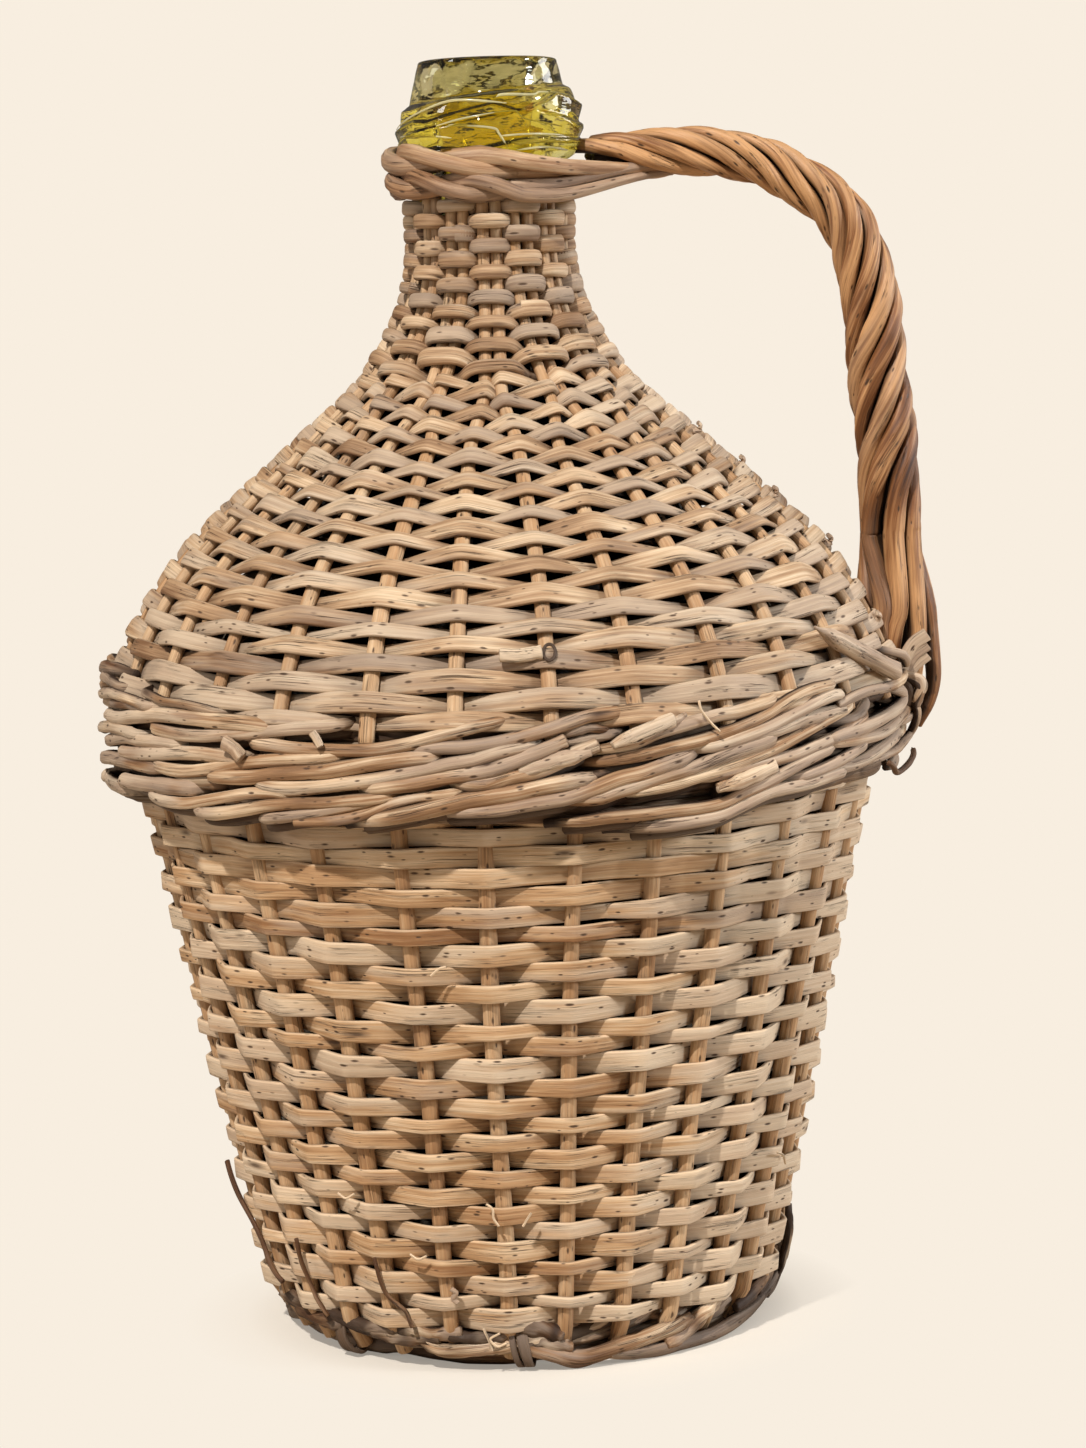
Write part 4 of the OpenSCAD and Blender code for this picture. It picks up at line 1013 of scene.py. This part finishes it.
def handle():
    bundle = Bundle("handle_willow")
    section = half_round_section(18, 1.0, 0.97)
    rope_to = HANDLE_L - 36.0
    for k in range(HANDLE_RODS):
        start = (0.0, 9.0, 7.0, 11.0, 4.0, 6.0)[k]
        s = np.linspace(start, rope_to, 46)
        x, z, way, normal = handle_middle(s)
        outside = 8.8 + 2.4 * smooth((s - 60.0) / 110.0) + 0.7 * smooth((s - 190.0) / 60.0)
        # The turning slows to nothing where the rods part
        turned = s - 8.0 - np.maximum(s - rope_to + 34.0, 0.0) ** 2 / 68.0
        q = 0.9 + k * TURN / HANDLE_RODS + TURN * turned / HANDLE_PITCH + wander(46, 8, 0.05)
        c = outside / 1.44 * (1 + wander(46, 7, 0.03))
        place = c[:, None] * (np.cos(q)[:, None] * np.stack(
            [normal[:, 0], np.zeros(46), normal[:, 1]], -1)
            + np.sin(q)[:, None] * np.array([0.0, -1.0, 0.0]))
        path = np.stack([x + 0.6 * np.sin(s / 23.0), np.zeros(46), z], -1) + place
        # The rods keep their order round the rope where they leave it
        turns = [q[-1] + (other - k) * TURN / HANDLE_RODS for other in range(HANDLE_RODS)]
        shifts = [sum(1 - math.cos(turns[(m + shift) % HANDLE_RODS] - root[0])
                      for m, root in enumerate(HANDLE_ROOTS)) for shift in range(HANDLE_RODS)]
        root = HANDLE_ROOTS[(k - int(np.argmin(shifts))) % HANDLE_RODS]
        down = on_plane(root[4], root[1])
        off = down - [140.5, 0.0, 0.0]
        off[:, 2] = 0.0
        m = len(down)
        n = 5 * (46 + m)
        half = np.concatenate([outside - outside / 1.44, np.linspace(root[2], root[3], m)])
        half = through(half, n) * (1 + wander(n, 30, 0.05))
        path = through(np.concatenate([path, down]), n)
        out = unit(through(np.concatenate([unit(place), unit(off)]), n))
        # Painted light and shade: each rod is painted paler at its start, along the top arm, and darker
        # down the upright, and deep paints shade on its first few millimetres, where it goes in under the
        # rope
        topmost = 1 - smooth(np.linspace(-0.6, 1.4, n))
        bundle.strand(path, out, half, half, section,
                      tone=rng.normal(0.3, 0.6) + wander(n, 30, 0.9) + 2.2 * topmost,
                      grey=rng.normal(-0.4, 0.4) + wander(n, 40, 0.5), ridges=0.06, under=1.5,
                      deep=0.75 * (1 - smooth(np.linspace(0.0, HANDLE_L, n) / 9.0)))
    # A core rod, painted fully dark as shade, fills the middle of the rope
    s = np.linspace(6.0, rope_to, 200)
    x, z, way, normal = handle_middle(s)
    bundle.strand(np.stack([x, np.zeros(200), z], -1), np.array([0.0, -1.0, 0.0]), 3.6, 3.6,
                  section, tone=-2.0, deep=1.0)
    return bundle.build(HANDLE, "handle_rods", "handle_core", "handle_tails",
                        *("handle_rod_%d" % (k + 1) for k in range(HANDLE_RODS)))


# Collar: two pairs of rods that loop round the neck and close on the handle
def collar():
    bundle = Bundle("collar_willow")
    section = half_round_section(16, 1.0, 0.9)
    n = 220
    for pair, z0 in enumerate((COLLAR_Z[0] + 1.0, COLLAR_Z[1] - 1.9)):
        for k in range(2):
            t = np.linspace(-1.0, 1.0, n)
            spread = math.radians(128.0)
            angle = math.pi + t * spread
            ring = 31.6
            x, y = ring * np.cos(angle), ring * np.sin(angle)
            # Beyond the ring both arms run straight on to the handle
            arm = np.clip((np.abs(t) - 0.86) / 0.14, 0.0, 1.0)
            side = np.sign(t)
            edge = math.pi + 0.86 * spread
            ex, ey = ring * math.cos(edge), ring * math.sin(edge)
            tx, ty = 66.0 - 4.0 * pair, -0.5
            x = np.where(arm > 0, ex + (tx - ex) * arm, x)
            y = np.where(arm > 0, (ey + (ty - ey) * smooth(arm)) * side, y)
            turn = (3.0, 2.1)[pair] * TURN * t / 2 + k * math.pi + 0.4 + 1.2 * pair
            c = 2.5 * (1 - 0.35 * arm)
            flat = np.stack([x, y, np.zeros(n)], -1)
            out = unit(flat)
            level = z0 - 0.10 * np.clip(x, -40.0, 26.0)
            z = level + c * np.cos(turn) + (410.5 - level) * smooth(arm)
            path = flat + out * (c * np.sin(turn))[:, None]
            path[:, 2] = z
            half = rng.uniform(2.9, 3.3) * (1 - 0.5 * arm) * (1 + wander(n, 30, 0.05))
            bundle.strand(path, out, half, half, section, tone=rng.normal(-0.8, 0.9),
                          grey=rng.normal(0.2, 0.5) + wander(n, 40, 0.5), ridges=0.05,
                          under=1.0)
    return bundle.build(COLLAR, "handle_rods", "collar_lower", "collar_upper")


# Glass: its profile, outside and inside, with the trails laid round the string ring
def arc_points(centre, radius, a0, a1, n):
    a = np.radians(np.linspace(a0, a1, n))
    return np.stack([centre[0] + radius * np.cos(a), centre[1] + radius * np.sin(a)], -1)


def glass_profile():
    outside = np.concatenate([
        [(0.5, GLASS_Z + 20.0)], arc_points((0.0, GLASS_Z - 52.5), 72.5, 85.0, 47.0, 10),
        arc_points((62.2, GLASS_Z + 18.0), 18.0, -88.0, -11.8, 10),
        arc_points((49.6, 193.0), 75.0, -11.0, 47.64, 26),
        arc_points((99.6, 388.0), 79.4, 180.0 + 47.0, 184.0, 18),
        [(20.3, 397.0), (21.5, 402.0), (24.2, 409.0)]])
    mouth = through([(25.2, 412.0), (27.6, 418.0), (28.2, 424.0), (28.2, 430.0), (27.8, 435.0),
                     (26.6, 440.5), (25.4, 445.5), (24.7, RIM_Z - 2.0), (24.2, RIM_Z - 0.5),
                     (22.4, RIM_Z)], 96)
    inside = np.concatenate([
        through([(19.6, RIM_Z - 0.3), (18.0, RIM_Z - 2.0), (17.2, RIM_Z - 6.0), (17.0, 430.0),
                 (17.0, 396.0)], 26),
        arc_points((99.6, 388.0), 83.0, 183.0, 180.0 + 47.0, 14),
        arc_points((49.6, 193.0), 71.4, 47.64, -11.0, 20),
        arc_points((62.2, GLASS_Z + 18.0), 14.4, -11.8, -88.0, 8),
        arc_points((0.0, GLASS_Z - 52.5), 76.1, 50.0, 85.0, 8), [(0.5, GLASS_Z + 23.6)]])
    return np.concatenate([outside, mouth, inside]), len(outside), len(outside) + len(mouth)


# Folds laid round the string ring: height on the axis, how far it strays, width, and how far
# each stands out
FOLDS = ((414.5, 0.8, 5.0, 1.2), (419.5, 1.4, 4.6, 1.6), (425.0, 2.2, 5.4, 1.9),
         (430.6, 2.0, 5.0, 1.6), (435.6, 1.2, 4.0, 0.8))
RING_TILT = 3.0
MOUTH_SHIFT = 1.0


def jagged(n, corners, amount):
    """Closed run of straight pieces between random corners."""
    at = np.sort(rng.uniform(0.0, n, corners))
    values = rng.normal(0.0, amount, corners)
    at = np.concatenate([at - n, at, at + n])
    return np.interp(np.arange(n), at, np.tile(values, 3))


def ring_r(z, a):
    """Swell of the string ring, which leans with the mouth."""
    place = (z - 424.5 - RING_TILT * np.cos(a)) / 13.0
    return 3.6 * np.sqrt(np.clip(1 - place ** 2, 0.0, 1.0))


def glass():
    profile, mouth_from, inside_from = glass_profile()
    columns = 400
    a = np.linspace(0.0, TURN, columns, endpoint=False)
    r = np.repeat(profile[:, :1], columns, 1)
    z = np.repeat(profile[:, 1:], columns, 1)
    outer = np.arange(len(profile)) < inside_from
    bead = smooth((z - 410.5) / 3.5) * smooth((438.5 + RING_TILT * np.cos(a) - z) / 2.0)
    band = np.zeros_like(r)
    for place, stray, width, height in FOLDS:
        middle = place + RING_TILT * np.cos(a) + jagged(columns, 9, stray)
        swell = 1 + jagged(columns, 7, 0.3)
        d = (z - middle) / width
        fold = np.where(d > 0, np.clip(1 - d * 4.0, 0, 1), np.clip(1 + d, 0, 1))
        band = np.maximum(band, height * swell * fold)
    r = r + np.where(outer[:, None], bead * (ring_r(z, a) + band), 0.0)
    ripple = 0.25 * np.sin(3 * a + z / 9.0) + 0.16 * np.sin(8 * a - z / 2.4)
    ripple = ripple + 0.14 * np.sin(13 * a + 2.0 * np.sin(z / 3.0)) * np.sin(z / 1.7 + 3 * a)
    inner_part = 0.3 + 1.5 * ~outer[:, None]
    r = r + np.where((z > 400) & (z < RIM_Z - 1), ripple * inner_part, 0.0)
    r = np.minimum(r, 33.4 + 200.0 * (z < 405))
    shift = MOUTH_SHIFT * smooth((z - 402.0) / 12.0)
    co = np.stack([r * np.cos(a) + shift, r * np.sin(a), z], -1).reshape(-1, 3)
    i = np.arange(len(profile) - 1)[:, None]
    j = np.arange(columns)[None, :]
    nxt = (j + 1) % columns
    faces = np.stack([i * columns + j, i * columns + nxt, (i + 1) * columns + nxt,
                      (i + 1) * columns + j], -1).reshape(-1, 4).tolist()
    top = len(co)
    co = np.concatenate([co, [(0.0, 0.0, GLASS_Z + 20.0), (0.0, 0.0, GLASS_Z + 23.6)]])
    last = (len(profile) - 1) * columns
    for k in range(columns):
        faces.append([top, (k + 1) % columns, k])
        faces.append([top + 1, last + k, last + (k + 1) % columns])
    mesh = bpy.data.meshes.new("glass_bottle_blown")
    mesh.from_pydata((co * MM).tolist(), [], faces)
    return finish_piece(mesh, "glass_bottle_blown", glass_material(),
                        ("glass_bottle",))


# Thin drawn threads of pale glass on the ring, in pixels of the photograph. Their pale colour
# is a painted highlight along the ring's thin bright lines
GLASS_THREADS = [
    ((398, 130), (421, 112), (446, 102), (466, 100), (506, 103)),
    ((444, 128), (457, 125), (492, 128), (499, 134), (508, 149)),
    ((437, 126), (470, 117), (511, 111), (526, 119), (559, 126)),
    ((496, 97), (503, 94.5), (532, 94.5), (541, 92), (566, 96)),
    ((499, 136), (532, 134), (571, 136)),
    ((511, 143), (540, 141), (573, 142)),
    ((402, 137), (430, 136), (452, 138)),
    ((516, 150), (545, 147), (566, 150))]


def glass_threads():
    bundle = Bundle("glass_threads")
    section = round_section(8)

    def over(z):
        z = np.asarray(z, float)
        return 27.8 + 3.9 * np.sqrt(np.clip(1 - ((z - 425.0) / 15.0) ** 2, 0.0, 1.0))

    for route in GLASS_THREADS:
        n = 60
        t = np.linspace(0.0, 1.0, n)
        path, angle = seen_path(route, over, n, np.full(n, 0.5))
        half = 0.27 * (0.4 + 0.6 * smooth(np.minimum(t, 1 - t) / 0.15)) * (1 + wander(n, 12, 0.2))
        bundle.strand(path, normals(angle, 0.0), half * 1.5, half, section)
    material = bpy.data.materials.new("pale_threads_painted_highlight")
    material.use_nodes = True
    n = Nodes(material.node_tree)
    # Painted highlight: a pale, half clear colour for the threads
    shader = n.add("ShaderNodeBsdfPrincipled", {
        "Base Color": srgb(240, 232, 186), "Roughness": 0.12, "IOR": 1.5,
        "Transmission Weight": 0.55})
    n.add("ShaderNodeOutputMaterial", {"Surface": shader.outputs[0]})
    return bundle.build(material, "glass")


def glass_material():
    """Green glass, yellower in the trails, painted near black as shade down in the basket, with seeds in
    it.
    """
    material = bpy.data.materials.new("green_glass")
    material.use_nodes = True
    n = Nodes(material.node_tree)
    place = n.add("ShaderNodeTexCoord").outputs["Object"]
    height = n.add("ShaderNodeSeparateXYZ", {0: place}).outputs[2]
    wobble = n.noise(place, (60.0, 60.0, 110.0), 3.0)
    level = n.maths("ADD", height, n.maths("MULTIPLY", n.maths("SUBTRACT", wobble, 0.5), 0.012))
    level = n.maths("MULTIPLY", n.maths("SUBTRACT", level, 0.39), 16.0, True)
    # Painted shade: up to about 390 mm high the glass is coloured near black
    colour = n.ramp(level, [(0.0, srgb(24, 25, 12)), (0.12, srgb(46, 46, 18)),
                            (0.36, srgb(196, 184, 96)), (0.50, srgb(218, 198, 58)),
                            (0.66, srgb(222, 202, 70)), (0.76, srgb(241, 240, 196)),
                            (1.0, srgb(243, 242, 208))])
    shade = n.noise(place, (45.0, 45.0, 190.0), 3.0, 0.6)
    shade = n.ramp(shade, [(0.36, 0.74), (0.5, 0.97), (0.66, 1.06)])
    colour = n.mix(1.0, colour, shade, "MULTIPLY")
    distance, pick = n.cells(place, (230.0, 230.0, 260.0))
    seed = n.ramp(distance, [(0.10, 1.0), (0.2, 0.0)])
    seed = n.maths("MULTIPLY", seed, n.ramp(pick, [(0.78, 0.0), (0.8, 1.0)]))
    colour = n.mix(n.maths("MULTIPLY", seed, 0.85), colour, srgb(40, 36, 18))
    ripples = n.noise(place, (34.0, 34.0, 90.0), 4.0, 0.6)
    bump = n.add("ShaderNodeBump", {"Strength": 0.55, "Distance": 0.0012, "Height": ripples})
    shader = n.add("ShaderNodeBsdfPrincipled", {
        "Base Color": colour, "Roughness": 0.04, "Normal": bump.outputs[0], "IOR": 1.5,
        "Transmission Weight": 1.0})
    n.add("ShaderNodeOutputMaterial", {"Surface": shader.outputs[0]})
    return material


# Small things that have come loose: a pointed peg at the belt, root hairs, and broken ends
def loose_ends():
    bundle = Bundle("loose_ends_willow")
    section = half_round_section(12, 1.0, 0.9)
    n = 50
    t = np.linspace(0.0, 1.0, n)

    def over(z):
        z = np.asarray(z, float)
        r, height, _ = upper_line(np.linspace(0.0, S_TOP, 200))
        shoulder = np.interp(z, height, r) + 7.0
        return np.where(z > 240.0, shoulder, np.where(z > 192.0, 144.0, stake_r(z) + 5.0))

    def peg_face(z):
        return np.clip(131.0 + 0.9 * (262.0 - np.asarray(z, float)), 128.0, 144.2)

    peg, angle = seen_path(((813, 627), (842, 645), (868, 659), (893, 671)), peg_face, n, 0.5)
    peg = peg[0] + (peg[-1] - peg[0]) * t[:, None]
    point = smooth(t / 0.3) * 0.85 + 0.15
    bundle.strand(peg, normals(angle, 0.3), 3.3 * point, 3.1 * point, section,
                  tone=0.5, grey=0.8, ridges=0.06)
    for route in (((612, 745), (640, 733), (674, 720)), ((590, 752), (560, 760), (520, 772)),
                  ((715, 789), (745, 779), (776, 766))):
        path, angle = seen_path(route, over, n, 1.6 - 3.0 * t)
        half = 2.6 * (0.45 + 0.55 * smooth(t / 0.4))
        bundle.strand(path, normals(angle, 0.0), half, half * 0.8, section,
                      tone=rng.normal(0.6, 0.8), grey=0.4, ridges=0.08)
    # A flat strip wound over the foot of the handle
    for k in range(3):
        wrap = ((927, 634 + 10 * k), (914, 643 + 11 * k), (906, 656 + 11 * k), (902, 670 + 10 * k))
        path = through(on_plane(wrap, -13.0 + 0.8 * k), n)
        bundle.strand(path, np.array([0.35, -0.93, 0.1]), 2.4, 0.7, SPLIT_SECTION,
                      tone=rng.normal(0.2, 0.5), grey=1.6, edges=0.6)
    # Cut ends that curl up, and a cut end over a stake with its bark ring
    for s0, degrees, size in ((66.0, -9.0, 1.5), (82.0, -5.0, 1.6), (101.0, -12.0, 1.4),
                              (40.0, -4.0, 1.6), (8.0, -10.0, 1.6)):
        r, z, lean = upper_line(s0)
        curl = through([(0.0, 0.0), (1.5, 0.2), (2.5, 1.0), (2.7, 2.2), (1.9, 3.0)], n)
        angle = math.radians(degrees) + 0.01 * np.sin(3.0 * t)
        path = polar(r + 2.6 + curl[:, 0], angle, z + 2.6 + curl[:, 1])
        bundle.strand(path, normals(angle, lean), size, size * 0.55, section,
                      tone=rng.normal(0.0, 0.6), grey=0.8, ridges=0.06)
    for route, half in ((((452, 1288), (457, 1292), (454, 1298), (459, 1302)), 0.9),
                        (((500, 655), (520, 655), (541, 652)), 2.3),
                        (((314, 732), (318, 738), (322, 746)), 1.4),
                        (((226, 742), (236, 748), (244, 757)), 2.4)):
        path, angle = seen_path(route, over, n, 1.0)
        bundle.strand(path, normals(angle, 0.2), half, half * 0.6, section,
                      tone=rng.normal(1.0, 0.6), grey=0.6, ridges=0.06)
    turns = np.linspace(0.0, TURN, 17)
    ring = list(zip(549.0 + 6.0 * np.cos(turns), 652.0 + 8.0 * np.sin(turns)))
    path, angle = seen_path(ring, over, n, 0.6)
    bundle.strand(path, normals(angle, 0.2), 0.55, 0.55, section, tone=-4.0, deep=0.8)
    for route in (((487, 1203), (493, 1208), (494, 1217), (499, 1225)),
                  ((531, 1212), (527, 1218), (523, 1225)),
                  ((412, 1253), (420, 1258), (428, 1255)),
                  ((341, 1192), (349, 1197), (357, 1193)),
                  ((484, 1327), (489, 1338), (493, 1349)),
                  ((500, 1332), (491, 1338), (498, 1345), (507, 1342)),
                  ((696, 700), (699, 710), (708, 722), (717, 731)),
                  ((432, 975), (440, 968), (447, 966)),
                  ((773, 1152), (779, 1155), (781, 1163))):
        path, angle = seen_path(route, over, n, 1.6)
        bundle.strand(path, normals(angle, 0.0), 0.42, 0.42, section, tone=5.0)
    for route, half in ((((230, 1161), (256, 1221), (271, 1259), (286, 1281)), 0.9),
                        (((299, 1238), (311, 1281), (331, 1315)), 0.75),
                        (((376, 1257), (388, 1293), (407, 1311), (414, 1326)), 0.7),
                        (((886, 763), (897, 772), (910, 750)), 1.0)):
        path, angle = seen_path(route, over, n, 1.0 + 0.5 * np.sin(9.0 * t))
        bundle.strand(path, normals(angle, 0.0), half, half, section, tone=-4.0, grey=-1.0,
                      deep=0.35, ridges=0.1)
    return bundle.build(RODS, "rods")


add_camera()
lower_stakes()
lower_siding()
upper_stakes()
shoulder_siding()
neck_siding()
belt()
foot_border()
foot_ties()
base()
handle()
collar()
glass()
glass_threads()
loose_ends()


BACKDROP = srgb(248, 238, 224)


def add_world():
    world = bpy.data.worlds.new("studio")
    bpy.context.scene.world = world
    world.use_nodes = True
    n = Nodes(world.node_tree)
    path = n.add("ShaderNodeLightPath")
    seen = n.maths("MAXIMUM", path.outputs["Is Camera Ray"], path.outputs["Is Transmission Ray"])
    shown = n.add("ShaderNodeBackground", {"Color": BACKDROP, "Strength": 1.0})
    light = n.add("ShaderNodeBackground", {"Color": srgb(255, 246, 234), "Strength": 0.17})
    mix = n.add("ShaderNodeMixShader", {0: seen, 1: light.outputs[0], 2: shown.outputs[0]})
    n.add("ShaderNodeOutputWorld", {"Surface": mix.outputs[0]})


def add_floor():
    mesh = bpy.data.meshes.new("floor")
    size = 6.0
    mesh.from_pydata([(-size, -size, 0), (size, -size, 0), (size, size, 0), (-size, size, 0)],
                     [], [(0, 1, 2, 3)])
    floor = bpy.data.objects.new("floor", mesh)
    bpy.context.scene.collection.objects.link(floor)
    material = bpy.data.materials.new("floor")
    material.use_nodes = True
    n = Nodes(material.node_tree)
    seen = n.add("ShaderNodeLightPath").outputs["Is Camera Ray"]
    shade = n.mix(seen, srgb(176, 162, 144), srgb(228, 218, 204))
    diffuse = n.add("ShaderNodeBsdfDiffuse", {"Color": shade})
    glow = n.add("ShaderNodeEmission", {"Color": BACKDROP, "Strength": 1.0})
    place = n.add("ShaderNodeNewGeometry").outputs["Position"]
    away = n.add("ShaderNodeVectorMath", {0: place}, operation="LENGTH").outputs["Value"]
    fade = n.ramp(n.maths("MULTIPLY", away, 0.5), [(0.044, 0.3), (0.051, 0.75), (0.062, 1.0)])
    fade = n.maths("MULTIPLY", fade, seen)
    mix = n.add("ShaderNodeMixShader", {0: fade, 1: diffuse.outputs[0], 2: glow.outputs[0]})
    n.add("ShaderNodeOutputMaterial", {"Surface": mix.outputs[0]})
    mesh.materials.append(material)


def sun(name, from_place, power, degrees, colour=(1.0, 1.0, 1.0)):
    data = bpy.data.lights.new(name, "SUN")
    data.energy = power
    data.angle = math.radians(degrees)
    data.color = colour
    lamp = bpy.data.objects.new(name, data)
    lamp.rotation_euler = (-Vector(from_place)).to_track_quat("-Z", "Y").to_euler()
    bpy.context.scene.collection.objects.link(lamp)


def window(name, place, target, width, height, power):
    data = bpy.data.lights.new(name, "AREA")
    data.shape = "RECTANGLE"
    data.size = width
    data.size_y = height
    data.energy = power
    lamp = bpy.data.objects.new(name, data)
    lamp.location = place
    lamp.visible_transmission = False
    lamp.rotation_euler = (Vector(target) - Vector(place)).to_track_quat("-Z", "Y").to_euler()
    bpy.context.scene.collection.objects.link(lamp)


add_world()
add_floor()
sun("key", (-0.42, -1.0, 1.2), 3.5, 2.0, (1.0, 0.97, 0.93))
sun("fill", (1.4, -0.45, 0.5), 1.9, 12.0, (0.86, 0.93, 1.0))
window("window_left", (-1.53, -0.81, 0.75), (0.0, 0.0, 0.4), 0.28, 0.45, 5.0)
window("window_right", (1.55, 0.63, 0.7), (0.0, 0.0, 0.4), 0.5, 1.0, 12.0)
bpy.context.scene.view_settings.view_transform = "Standard"
